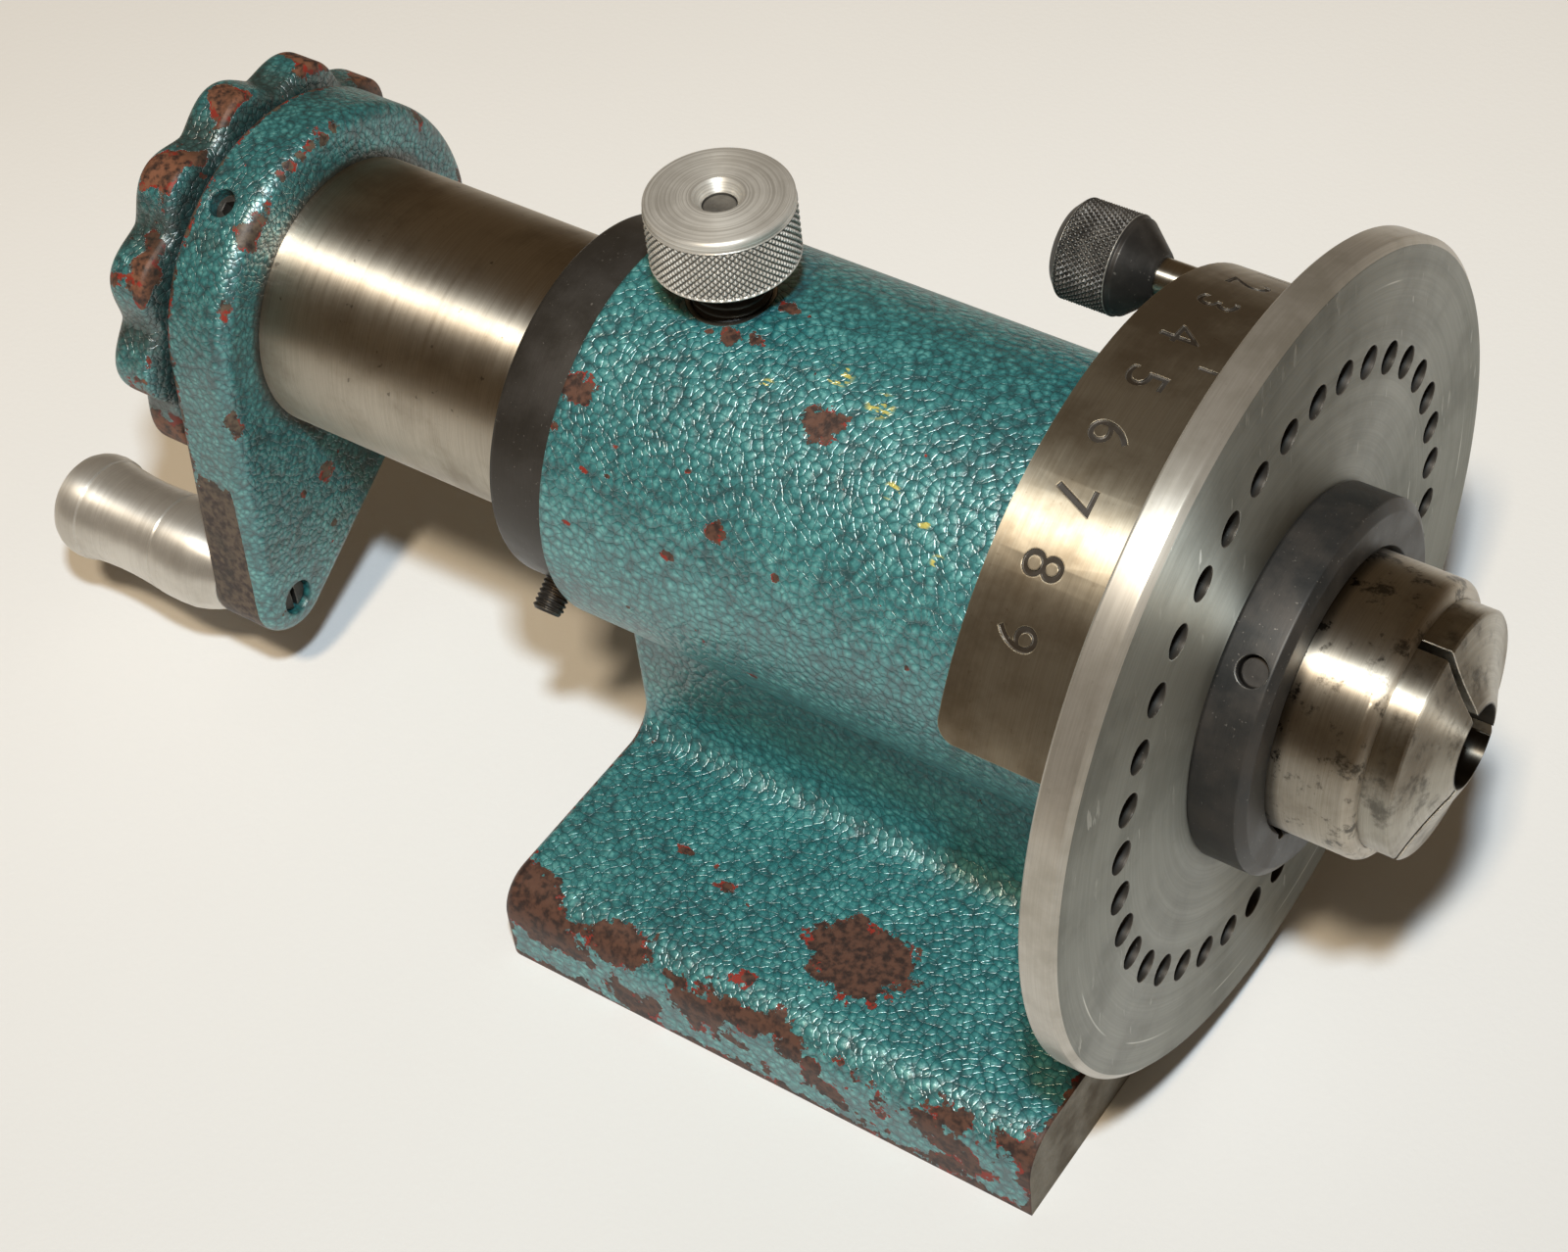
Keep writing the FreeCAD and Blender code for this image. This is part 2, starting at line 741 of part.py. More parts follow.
def make_pin():
    """Index pin: a ground rod with a reduced tip."""
    places = [
        ("pin_knob_rear + 4", "0"),
        ("pin_tip_end", "0"),
        ("pin_tip_end", "pin_tip - 0.5"),
        ("pin_tip_end - 0.5", "pin_tip"),
        ("pin_tip_end - pin_tip_length", "pin_tip"),
        ("pin_tip_end - pin_tip_length", "pin_radius - 0.3"),
        ("pin_tip_end - pin_tip_length - 0.3", "pin_radius"),
        ("pin_knob_rear + 4", "pin_radius"),
    ]
    return turned("index_pin", places, centre=PIN_PLACE)


def make_pin_knob():
    """Knob of the index pin: rounded rear rim, plain band and a cone down to the neck."""
    places = [
        ("pin_knob_rear", "0"),
        ("pin_knob_rear + 4", "0"),
        ("pin_knob_rear + 4", "pin_radius"),
        ("pin_knob_front", "pin_radius"),
        ("pin_knob_front", "pin_radius + 0.7"),
        ("pin_knob_front - 1.8", "pin_knob - 0.5"),
        ("pin_knob_front - 2.4", "pin_knob"),
        ("pin_knob_rear + 2", "pin_knob"),
        ("pin_knob_rear", "pin_knob - 2"),
    ]
    return turned("index_pin_knob", places, arcs={7: ("2.1", 1)}, centre=PIN_PLACE)


LOCK_PLACE = ("lock_place", "0", "axis_height")


def upright(label, places, arcs=None):
    """A body turned about the lock's vertical axis; places are out from and up along that axis."""
    body = new_body(label, centre=LOCK_PLACE)
    sketch = new_sketch(body, "XZ_Plane")
    outline(sketch, places, arcs)
    revolve(body, sketch, axis="V_Axis")
    return body


def make_lock():
    """Spindle lock: a brass pad, a threaded stud that presses on it, and the knob on the stud."""
    pad = [
        ("0", "lock_pad_foot"),
        ("lock_thread - 0.5", "lock_pad_foot"),
        ("lock_thread", "lock_pad_foot + 0.5"),
        ("lock_thread", "lock_pad_top"),
        ("0", "lock_pad_top"),
    ]
    upright("lock_pad", pad)
    stud_top = "lock_knob_top - 5"
    stud = [
        ("0", "lock_pad_top"),
        ("lock_thread - 1", "lock_pad_top"),
        ("lock_thread", "lock_pad_top + 1"),
        ("lock_thread", stud_top),
        ("0", stud_top),
    ]
    upright("lock_stud", stud)
    knob = [
        ("lock_thread", "lock_knob_foot"),
        ("lock_knob - lock_knob_round", "lock_knob_foot"),
        ("lock_knob", "lock_knob_foot + lock_knob_round"),
        ("lock_knob", "lock_knob_top - lock_knob_round"),
        ("lock_knob - lock_knob_round", "lock_knob_top"),
        ("4", "lock_knob_top"),
        ("2.6", "lock_knob_top - 1.4"),
        ("2.6", stud_top),
        ("lock_thread", stud_top),
    ]
    upright("lock_knob", knob, arcs={1: ("lock_knob_round", -1), 3: ("lock_knob_round", -1)})


def make_all():
    make_casting()
    make_spindle()
    make_collet_key()
    make_plate()
    make_nut()
    grub_screw(
        "hub_nut_screw",
        "nut_screw_place",
        "nut_screw_angle",
        "nut_screw",
        "nose_radius",
        "nut_radius - 1.6",
    )
    ring("stop_collar", "collar_rear", "collar_front", "spindle_radius + 0.05", "collar_radius", "0.8")
    radial_hole(
        BODIES[-1],
        "(collar_front + collar_rear) / 2",
        "collar_screw_angle",
        "collar_screw + slide_fit",
        "spindle_radius - 1",
        "collar_radius + 1",
    )
    grub_screw(
        "collar_screw",
        "(collar_front + collar_rear) / 2",
        "collar_screw_angle",
        "collar_screw",
        "spindle_radius + 0.1",
        "collar_screw_top",
    )
    make_crank()
    grub_screw(
        "crank_hub_screw",
        "hub_rear + hub_screw_from_rear",
        "hub_screw_angle",
        "hub_screw",
        "spindle_radius",
        "hub_radius - 2.6",
        socket="1.5",
    )
    make_handle_screw()
    ring("thrust_washer", "wheel_front + 0.1", "hub_rear", "tube_radius + 0.1", "wheel_valley - 4.3", "0.2")
    make_grip()
    make_wheel()
    grub_screw(
        "handwheel_screw",
        "(wheel_front + wheel_rear) / 2",
        "-75",
        "hub_screw",
        "tube_radius",
        "wheel_valley - 2",
        socket="1.5",
    )
    make_draw_tube()
    make_collet()
    make_pin()
    make_pin_knob()
    make_lock()


make_all()
document.recompute()

faults = [item.Name for item in document.Objects if "Invalid" in item.State or "Error" in item.State]
for body in BODIES:
    if body.Shape.isNull() or not body.Shape.isValid():
        faults.append(body.Label)
if faults:
    raise RuntimeError(f"these objects failed: {faults}")

os.makedirs("parts", exist_ok=True)
for body in BODIES:
    body.Shape.exportStep(f"parts/{body.Label}.step")
    print(f"{body.Label}: {body.Shape.Volume:.0f} mm3, {len(body.Shape.Solids)} solid")
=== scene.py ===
"""Looks of the collet spin index fixture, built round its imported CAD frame. Lengths are in metres."""

import json
import math

import bpy
import bmesh
import numpy as np
from mathutils import Matrix, Vector


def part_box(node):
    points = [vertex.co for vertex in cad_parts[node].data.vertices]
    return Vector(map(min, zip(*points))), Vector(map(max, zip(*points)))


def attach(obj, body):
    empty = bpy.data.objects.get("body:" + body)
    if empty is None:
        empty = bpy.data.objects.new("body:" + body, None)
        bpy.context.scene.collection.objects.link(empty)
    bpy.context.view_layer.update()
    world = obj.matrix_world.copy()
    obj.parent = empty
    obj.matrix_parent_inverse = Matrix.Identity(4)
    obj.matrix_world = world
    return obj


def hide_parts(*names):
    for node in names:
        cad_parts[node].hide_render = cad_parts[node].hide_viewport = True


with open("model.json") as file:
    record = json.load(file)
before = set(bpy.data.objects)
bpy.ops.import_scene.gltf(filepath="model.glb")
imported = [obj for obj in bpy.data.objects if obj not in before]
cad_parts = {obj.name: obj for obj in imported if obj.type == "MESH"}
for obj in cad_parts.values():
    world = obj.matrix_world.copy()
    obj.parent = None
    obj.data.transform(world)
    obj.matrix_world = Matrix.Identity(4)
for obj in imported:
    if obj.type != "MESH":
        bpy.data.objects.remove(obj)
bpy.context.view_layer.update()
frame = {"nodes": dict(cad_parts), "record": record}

MM = 0.001
NODES = frame["nodes"]
BODY_OF = {node: body for body, names in frame["record"]["behaviour"]["bodies"].items() for node in names}


def middle(node):
    """The middle of a CAD node's box."""
    low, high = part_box(node)
    return (low + high) / 2


def span(node, axis=0):
    """Where a CAD node's box starts and ends along an axis."""
    low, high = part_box(node)
    return low[axis], high[axis]


AXIS = Vector((0, 0, middle("index_plate").z))
X, Y, Z = Vector((1, 0, 0)), Vector((0, 1, 0)), Vector((0, 0, 1))


def about(place, angle, radius):
    """The point at a place along X, an angle about the spindle from +Y through +Z, and a radius."""
    turn = math.radians(angle)
    return Vector((place, radius * math.cos(turn), AXIS.z + radius * math.sin(turn)))


def outward(point):
    """The direction straight away from the spindle's axis at a point."""
    return (point - Vector((point.x, 0, AXIS.z))).normalized()


def off_axis(point):
    """A point's distance from the spindle's axis."""
    return math.hypot(point.y, point.z - AXIS.z)


# ---------------------------------------------------------------------------- sizes

RIM = 51.2 * MM  # the flange's numbered rim
BARREL = 32.7 * MM
BASE_TOP = 16 * MM
HOLE_CIRCLE = 46.2 * MM  # index holes in the flange and the plate
FIRST_HOLE = 51.5  # the angle of the pin and of the plate's first hole, in degrees
NOSE_BORE = 20.97 * MM  # the plate's and the nut's bore
NUT_HOLE = (62.9 * MM, 133)  # place and angle of the nut's radial hole
COLLAR_SCREW_ANGLE = -144
ARM_ANGLE = math.radians(-121.6)
ARM = Vector((0, math.cos(ARM_ANGLE), math.sin(ARM_ANGLE)))
WELD = 2e-7  # points nearer than this are one point

# ---------------------------------------------------------------------------- mesh code


def new_object(name, mesh):
    """An object in the scene."""
    made = bpy.data.objects.new(name, mesh)
    bpy.context.scene.collection.objects.link(made)
    return made


def finish_mesh(mesh, angle=32):
    """Outward faces, smooth shading, and sharp edges only where the surface turns."""
    work = bmesh.new()
    work.from_mesh(mesh)
    bmesh.ops.remove_doubles(work, verts=work.verts, dist=WELD)
    bmesh.ops.recalc_face_normals(work, faces=work.faces)
    work.to_mesh(mesh)
    work.free()
    mesh.shade_smooth()
    mesh.set_sharp_from_angle(angle=math.radians(angle))


def soften(profile, steps=4):
    """A closed outline of (along, out, radius) corners, with each corner rounded by its radius."""
    points = []
    count = len(profile)
    for index, corner in enumerate(profile):
        here = Vector(corner[:2])
        radius = corner[2] if len(corner) > 2 else 0
        before = Vector(profile[index - 1][:2]) - here
        after = Vector(profile[(index + 1) % count][:2]) - here
        if radius == 0 or before.length < 1e-9 or after.length < 1e-9:
            points.append(tuple(here))
            continue
        half = before.angle(after) / 2
        reach = min(radius / math.tan(half), 0.48 * before.length, 0.48 * after.length)
        start, end = here + before.normalized() * reach, here + after.normalized() * reach
        for step in range(steps + 1):
            share = step / steps
            blend = start.lerp(here, share).lerp(here.lerp(end, share), share)
            points.append(tuple(blend))
    return points


def refine(points, low, high, spacing):
    """More points on the sides that lie wholly between two places along the axis."""
    result = []
    count = len(points)
    for index, point in enumerate(points):
        result.append(point)
        following = points[(index + 1) % count]
        inside = all(low - 1e-7 <= p[0] <= high + 1e-7 for p in (point, following))
        length = math.dist(point, following)
        if not inside or abs(following[0] - point[0]) < 0.5 * length:
            continue
        pieces = max(1, round(length / spacing))
        for step in range(1, pieces):
            share = step / pieces
            result.append(tuple(a + (b - a) * share for a, b in zip(point, following)))
    return result


def lathe(name, points, axis=X, centre=AXIS, segments=256, relief=None, closed=True):
    """A mesh turned about an axis through centre from (along, out) points.

    relief(angle, along, out) gives how far each point moves outward."""
    along = np.array([p[0] for p in points])
    out = np.array([p[1] for p in points])
    angle = np.arange(segments) * 2 * np.pi / segments
    angles, alongs = np.meshgrid(angle, along, indexing="ij")
    outs = np.broadcast_to(out, alongs.shape).copy()
    if relief is not None:
        outs = outs + relief(angles, alongs, outs)
    first, second = (Y, Z) if axis == X else (X, Y)
    base = np.array(centre) - np.array(axis) * Vector(centre).dot(axis)
    place = (
        base
        + alongs[..., None] * np.array(axis)
        + (outs * np.cos(angles))[..., None] * np.array(first)
        + (outs * np.sin(angles))[..., None] * np.array(second)
    )
    rows = len(points)
    faces = []
    last = rows if closed else rows - 1
    for column in range(segments):
        beside = (column + 1) % segments
        for row in range(last):
            above = (row + 1) % rows
            here, there = column * rows, beside * rows
            faces.append((here + row, there + row, there + above, here + above))
    mesh = bpy.data.meshes.new(name)
    mesh.from_pydata(place.reshape(-1, 3).tolist(), [], faces)
    work = bmesh.new()
    work.from_mesh(mesh)
    bmesh.ops.remove_doubles(work, verts=work.verts, dist=WELD)
    bmesh.ops.dissolve_degenerate(work, edges=work.edges, dist=1e-8)
    work.to_mesh(mesh)
    work.free()
    finish_mesh(mesh)
    return new_object(name, mesh)


def bar_cutter(half_width, half_length, depth, place):
    """A straight bar from -depth to depth, moved by a matrix."""
    w, h = half_width, half_length
    corners = [(-w, -h), (w, -h), (w, h), (-w, h)]
    count = len(corners)
    points = [(x, y, level) for level in (-depth, depth) for x, y in corners]
    faces = [tuple(range(count))[::-1], tuple(range(count, 2 * count))]
    faces += [(i, (i + 1) % count, count + (i + 1) % count, count + i) for i in range(count)]
    mesh = bpy.data.meshes.new("bar")
    mesh.from_pydata(points, [], faces)
    mesh.transform(place)
    return mesh


def frame_at(point, up, out):
    """A matrix whose Y is up and whose Z is out, at a point."""
    across = up.cross(out).normalized()
    basis = Matrix((across, up.normalized(), out.normalized())).transposed().to_4x4()
    return Matrix.Translation(point) @ basis


def rod_cutter(point, out, radius, length, flare=0.0):
    """A round cutter along out from a point, widening by flare at its outer end."""
    place = frame_at(point, X if abs(out.x) < 0.9 else Y, out)
    rings = [(-length, radius), (length, radius)]
    if flare:
        rings = [(-length, radius), (-flare, radius), (flare, radius + 2 * flare)]
    sides = 32
    points, faces = [], []
    for level, size in rings:
        turns = [2 * math.pi * i / sides for i in range(sides)]
        points += [(size * math.cos(turn), size * math.sin(turn), level) for turn in turns]
    for row in range(len(rings) - 1):
        for i in range(sides):
            j = (i + 1) % sides
            faces.append((row * sides + i, row * sides + j, (row + 1) * sides + j, (row + 1) * sides + i))
    faces.append(tuple(range(sides))[::-1])
    faces.append(tuple(range((len(rings) - 1) * sides, len(rings) * sides)))
    mesh = bpy.data.meshes.new("cutter")
    mesh.from_pydata(points, [], faces)
    mesh.transform(place)
    return mesh


def digit_cutter(text, point, out, up, size, depth):
    """A raised figure to press into a surface, standing at a point with up and out directions."""
    curve = bpy.data.curves.new("digit", "FONT")
    curve.body = text
    curve.size = size
    curve.align_x = "CENTER"
    curve.align_y = "CENTER"
    curve.extrude = depth
    curve.resolution_u = 6
    holder = new_object("digit", curve)
    bpy.context.view_layer.update()
    mesh = bpy.data.meshes.new_from_object(holder.evaluated_get(bpy.context.evaluated_depsgraph_get()))
    bpy.data.objects.remove(holder)
    mesh.transform(frame_at(point, up, out))
    return mesh


def joined(meshes):
    """One mesh made of several."""
    work = bmesh.new()
    for mesh in meshes:
        work.from_mesh(mesh)
    bmesh.ops.remove_doubles(work, verts=work.verts, dist=WELD)
    bmesh.ops.recalc_face_normals(work, faces=work.faces)
    result = bpy.data.meshes.new("joined")
    work.to_mesh(result)
    work.free()
    return result


def cut(piece, meshes, angle=32):
    """Take cutters out of a piece."""
    cutter = new_object("cutter", joined(meshes))
    change = piece.modifiers.new("cut", "BOOLEAN")
    change.operation = "DIFFERENCE"
    change.solver = "EXACT"
    change.object = cutter
    bpy.context.view_layer.update()
    mesh = bpy.data.meshes.new_from_object(piece.evaluated_get(bpy.context.evaluated_depsgraph_get()))
    piece.modifiers.clear()
    piece.data = mesh
    bpy.data.objects.remove(cutter)
    finish_mesh(mesh, angle)


def copy_of(node):
    """A copy of a CAD node's shape as one welded mesh."""
    mesh = NODES[node].data.copy()
    if "custom_normal" in mesh.attributes:
        mesh.attributes.remove(mesh.attributes["custom_normal"])
    finish_mesh(mesh)
    return new_object(node + "_shape", mesh)


# ---------------------------------------------------------------------------- material code


def rgb(red, green, blue):
    """A screen colour, in linear light."""
    parts = [part / 255 for part in (red, green, blue)]
    return (*[p / 12.92 if p <= 0.04045 else ((p + 0.055) / 1.055) ** 2.4 for p in parts], 1.0)


class Finish:
    """A procedural material, with short ways to add its nodes."""

    def __init__(self, name):
        self.material = bpy.data.materials.new(name)
        self.material.use_nodes = True
        self.tree = self.material.node_tree
        self.surface = self.tree.nodes["Principled BSDF"]
        self.place = self.node("TexCoord", 3)  # the object's own coordinates

    def node(self, kind, output=0, inputs=None, **settings):
        made = self.tree.nodes.new("ShaderNode" + kind)
        for key, item in settings.items():
            setattr(made, key, item)
        for key, item in (inputs or {}).items():
            self.join(made.inputs[key], item)
        return made.outputs[output]

    def join(self, socket, item):
        """Link an output to a socket, or set a constant on it."""
        if isinstance(item, bpy.types.NodeSocket):
            self.tree.links.new(item, socket)
        else:
            socket.default_value = item

    def set(self, **items):
        """Join the surface's inputs, named with _ for a space."""
        for key, item in items.items():
            self.join(self.surface.inputs[key.replace("_", " ")], item)

    def math(self, operation, first, second=0.0, clamp=False):
        return self.node("Math", inputs={0: first, 1: second}, operation=operation, use_clamp=clamp)

    def plus(self, first, second, clamp=False):
        return self.math("ADD", first, second, clamp)

    def minus(self, first, second):
        return self.math("SUBTRACT", first, second)

    def times(self, first, second):
        return self.math("MULTIPLY", first, second)

    def most(self, first, second, clamp=False):
        return self.math("MAXIMUM", first, second, clamp)

    def vector(self, operation, first, second=(0, 0, 0), output=0):
        return self.node("VectorMath", output, inputs={0: first, 1: second}, operation=operation)

    def mix(self, share, first, second, blend="MIX"):
        """A colour between two."""
        inputs = {0: share, 6: first, 7: second}
        return self.node("Mix", 2, inputs=inputs, data_type="RGBA", blend_type=blend)

    def blend(self, share, first, second):
        """A number between two."""
        return self.node("Mix", 0, inputs={0: share, 2: first, 3: second}, data_type="FLOAT")

    def step(self, value, low, high, start=0.0, end=1.0):
        """A smooth change from start to end while a value goes from low to high."""
        inputs = {0: value, 1: low, 2: high, 3: start, 4: end}
        return self.node("MapRange", inputs=inputs, interpolation_type="SMOOTHSTEP")

    def noise(self, scale, detail=3.0, roughness=0.55, where=None):
        inputs = {"Vector": where or self.place, "Scale": scale, "Detail": detail, "Roughness": roughness}
        return self.node("TexNoise", inputs=inputs)

    def cells(self, scale, where, feature, **settings):
        inputs = {"Vector": where, "Scale": scale, **settings}
        return self.node("TexVoronoi", inputs=inputs, feature=feature)

    def ramp(self, value, stops):
        """Colours at (position, colour) stops."""
        made = self.tree.nodes.new("ShaderNodeValToRGB")
        self.join(made.inputs[0], value)
        elements = made.color_ramp.elements
        for _ in stops[2:]:
            elements.new(0.5)
        for element, (position, colour) in zip(elements, stops):
            element.position = position
            element.color = colour
        return made.outputs[0]

    def far_from(self, point, shape=(1, 1, 1), place=None):
        """Distance in mm from a point; shape stretches the space along each axis."""
        offset = self.vector("SUBTRACT", place or self.place, tuple(point))
        scaled = self.vector("MULTIPLY", offset, tuple(1000 * s for s in shape))
        return self.vector("LENGTH", scaled, output=1)

    def radius(self, axis=X, centre=AXIS):
        """Distance in mm from a line along an axis."""
        offset = self.vector("SUBTRACT", self.place, tuple(centre))
        across = self.vector("MULTIPLY", offset, tuple(1000 * (1 - abs(a)) for a in axis))
        return self.vector("LENGTH", across, output=1)

    def along(self, axis=X):
        """Place in mm along an axis."""
        return self.vector("DOT_PRODUCT", self.place, tuple(1000 * a for a in axis), output=1)

    def around(self, axis=X, centre=AXIS):
        """The direction round a line, as a tangent in the world."""
        offset = self.vector("SUBTRACT", self.place, tuple(centre))
        ring = self.vector("CROSS_PRODUCT", tuple(axis), offset)
        spaces = {"vector_type": "VECTOR", "convert_from": "OBJECT", "convert_to": "WORLD"}
        return self.node("VectorTransform", inputs={0: ring}, **spaces)

    def split(self, output):
        """Place in metres along X, Y or Z: 0, 1 or 2."""
        return self.node("SeparateXYZ", output, inputs={0: self.place})

    def bump(self, height, distance, strength=1.0, normal=None):
        inputs = {"Height": height, "Distance": distance, "Strength": strength}
        if normal is not None:
            inputs["Normal"] = normal
        return self.node("Bump", inputs=inputs)

    def edges(self, radius):
        """A rounded normal, and how near an edge is from how far that normal turns."""
        soft = self.node("Bevel", inputs={"Radius": radius}, samples=4)
        plain = self.node("NewGeometry", 1)
        turn = self.vector("DOT_PRODUCT", soft, plain, output=1)
        return soft, self.step(self.minus(1.0, turn), 0.03, 0.25)


def dress(piece, *finishes):
    """Give a piece its materials, in slot order."""
    kinds = [face.material_index for face in piece.data.polygons]
    piece.data.materials.clear()
    for finish in finishes:
        piece.data.materials.append(finish.material)
    for face, kind in zip(piece.data.polygons, kinds):
        face.material_index = kind


def stand_for(piece, node, *finishes):
    """A shown piece takes a CAD node's place, body and material slot."""
    piece.name = node + "_shown"
    dress(piece, *finishes)
    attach(piece, BODY_OF[node])
    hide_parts(node)


def keep(node, finish):
    """A CAD node stays as it is and takes a material."""
    shown = NODES[node]
    shown.data.materials.clear()
    shown.data.materials.append(finish.material)


# ---------------------------------------------------------------------------- paint

DEEP_TEAL = rgb(18, 78, 84)
TEAL = rgb(42, 124, 127)
LIGHT_TEAL = rgb(116, 192, 188)
PRIMER = rgb(130, 38, 26)
IRON = rgb(86, 58, 46)
DARK_IRON = rgb(44, 30, 26)
MARKING = rgb(206, 196, 96)
CRACK = rgb(18, 62, 64)
GRIME_AND_SHADE = rgb(32, 30, 24)
CLEAN_METAL = rgb(176, 168, 154)


def hammertone(
    name, chips=(), worn=None, cell=720.0, bright=1.0, iron=IRON, specks=0.735, marks=(), machined=None,
    relief=0.00019, grime_and_shade=None,
):
    """Hammered enamel with a flake sheen, over red primer and brown iron.

    chips are (point, radius in mm, stretch) and marks (point, radius in mm). worn(f, shake) is over 0 where the
    paint is gone. machined(f) and grime_and_shade(f) are the shares of clean metal and of grime with painted
    shade. relief is in metres."""
    f = Finish(name)
    drift = f.node("TexNoise", 1, inputs={"Vector": f.place, "Scale": 330.0, "Detail": 3.0})
    drift = f.vector("SUBTRACT", drift, (0.5, 0.5, 0.5))
    wavy = f.vector("ADD", f.place, f.vector("MULTIPLY", drift, (0.0016, 0.0016, 0.0016)))
    dome = f.cells(cell, wavy, "SMOOTH_F1", Smoothness=0.35)
    crack = f.cells(cell, wavy, "DISTANCE_TO_EDGE")
    mottle = f.noise(1500.0, 2.0)
    broad = f.noise(70.0, 4.0)
    tone = f.plus(f.times(dome, -0.55), f.times(mottle, 0.7))
    tone = f.plus(tone, f.times(broad, 0.5))
    stops = [(0.16, DEEP_TEAL), (0.45, TEAL), (0.85, LIGHT_TEAL)]
    paint = f.ramp(f.plus(tone, 0.06, clamp=True), stops)
    paint = f.mix(f.step(crack, 0.0, 0.08, 0.35, 0.0), paint, CRACK)
    paint = f.mix(1.0, paint, (bright, bright, bright, 1), "MULTIPLY")

    for point, size in marks:
        near = f.step(f.far_from(point), 0.5 * size, size, 1.0, 0.0)
        stretched = f.vector("MULTIPLY", f.place, (0.5, 1.4, 1.4))
        streak = f.step(f.noise(420.0, 3.0, 0.6, stretched), 0.53, 0.57)
        paint = f.mix(f.times(near, streak), paint, MARKING)

    ragged = f.noise(700.0, 5.0, 0.65)
    spread = f.noise(190.0, 3.0)
    ragged = f.times(f.minus(ragged, 0.5), 6.5)
    shake = f.plus(ragged, f.times(f.minus(spread, 0.5), 5.0))
    bare = f.times(f.minus(f.noise(260.0, 4.0, 0.6), specks), 14.0)
    for point, size, shape in chips:
        reach = f.minus(size, f.far_from(point, shape))
        reach = f.plus(reach, f.times(shake, min(1.0, size / 2)))
        bare = f.most(bare, reach)
    if worn is not None:
        bare = f.most(bare, worn(f, shake))
    gone = f.step(bare, 0.0, 0.14)
    red_edge = f.plus(bare, f.times(f.minus(f.noise(420.0), 0.46), 5.0))
    red_edge = f.step(red_edge, 0.1, 0.5)
    rust = f.mix(f.step(f.noise(800.0, 4.0), 0.38, 0.66), iron, DARK_IRON)
    metal = f.mix(red_edge, PRIMER, rust)
    skin = f.plus(f.times(dome, -1.1), f.times(mottle, 0.3))
    skin = f.plus(skin, f.times(f.noise(3600.0, 2.0), 0.12))
    skin = f.plus(skin, f.step(crack, 0.0, 0.09, -0.25, 0.0))
    pit = f.times(f.noise(900.0, 4.0), 0.45)
    height = f.blend(gone, f.plus(skin, 1.1), pit)
    rough = f.step(f.plus(f.times(gone, 2.0), mottle), 0.3, 2.7, 0.36, 0.52)
    colour = f.mix(gone, paint, metal)
    # Dark grime, and painted shade in corners, mixed over the paint.
    if grime_and_shade is not None:
        colour = f.mix(grime_and_shade(f), colour, GRIME_AND_SHADE)
    plain = 0.0
    if machined is not None:
        plain = machined(f)
        colour = f.mix(plain, colour, CLEAN_METAL)
        height = f.times(height, f.minus(1.0, plain))
    flake = f.blend(gone, 0.28, 0.0)
    f.set(Base_Color=colour, Roughness=rough, Metallic=f.most(flake, plain), IOR=2.5)
    f.set(Specular_IOR_Level=f.step(gone, 0.0, 1.0, 0.5, 0.1))
    soft, _ = f.edges(0.0009)
    f.set(Normal=f.bump(height, relief, 0.9, soft))
    return f


# ---------------------------------------------------------------------------- metals

SCRATCH = rgb(206, 205, 198)
DIRT_AND_SHADE = rgb(52, 48, 42)
BLACK = rgb(50, 48, 46)
WORN_EDGE = rgb(150, 142, 132)
DULL_PATCH = rgb(74, 70, 66)
DEEP_BLACK = rgb(30, 29, 28)
DUST = rgb(160, 154, 146)


def steel(
    name,
    colour,
    stain,
    roughness=(0.38, 0.48),
    axis=X,
    centre=AXIS,
    lines=1.0,
    blotch=0.5,
    edge=None,
    metallic=1.0,
    bevel=0.0003,
    grain=0.000004,
    brushed=0.94,
    dirt=None,
    turned=0.25,
    scribed=None,
):
    """Turned or ground metal: fine rings round an axis, broad stains, and edges worn bright.

    dirt(f) is the share of dirt and painted shade, and scribed the radius in mm of a scratched ring."""
    f = Finish(name)
    ring = f.node("CombineXYZ", inputs={0: f.along(axis), 1: f.radius(axis, centre), 2: 0.0})
    swirl = f.vector("MULTIPLY", f.place, (18, 18, 18))
    fine = f.noise(7.0 * lines, 3.0, 0.7, f.vector("ADD", ring, swirl))
    coarse = f.noise(1.3 * lines, 2.0, 0.5, f.vector("ADD", ring, swirl))
    cloud = f.noise(70.0, 5.0, 0.6)
    speck = f.step(f.noise(900.0, 3.0), 0.66, 0.74)
    share = f.times(f.step(cloud, 0.42, 0.68), blotch)
    share = f.plus(share, f.times(speck, 0.35 * blotch), clamp=True)
    base = f.mix(share, colour, stain)
    base = f.mix(f.step(fine, 0.34, 0.66, 0.0, turned), base, stain)
    soft, rim = f.edges(bevel)
    if edge is not None:
        base = f.mix(f.times(rim, f.step(cloud, 0.3, 0.5, 0.5, 1.0)), base, edge)
    if scribed is not None:
        gap = f.math("ABSOLUTE", f.minus(f.radius(axis, centre), scribed))
        line = f.step(gap, 0.06, 0.16, 1.0, 0.0)
        line = f.times(line, f.step(f.noise(45.0, 2.0), 0.5, 0.62))
        scratch = f.noise(90.0, 2.0, 0.5, f.vector("MULTIPLY", f.place, (1.0, 9.0, 1.5)))
        scratch = f.times(f.step(scratch, 0.67, 0.7), f.step(cloud, 0.45, 0.6))
        base = f.mix(f.most(line, f.times(scratch, 0.5)), base, SCRATCH)
    # Dark stains and dirt, and painted shade in bores, mixed over the metal.
    if dirt is not None:
        base = f.mix(dirt(f), base, DIRT_AND_SHADE)
    f.set(Base_Color=base, Metallic=metallic)
    f.set(Anisotropic=brushed, Anisotropic_Rotation=0.25, Tangent=f.around(axis, centre))
    uneven = f.plus(f.times(coarse, 0.6), f.times(cloud, 0.4))
    f.set(Roughness=f.step(uneven, 0.3, 0.7, *roughness))
    height = f.plus(f.times(fine, 0.7), f.times(coarse, 0.5))
    f.set(Normal=f.bump(height, grain, 1.0, soft))
    return f


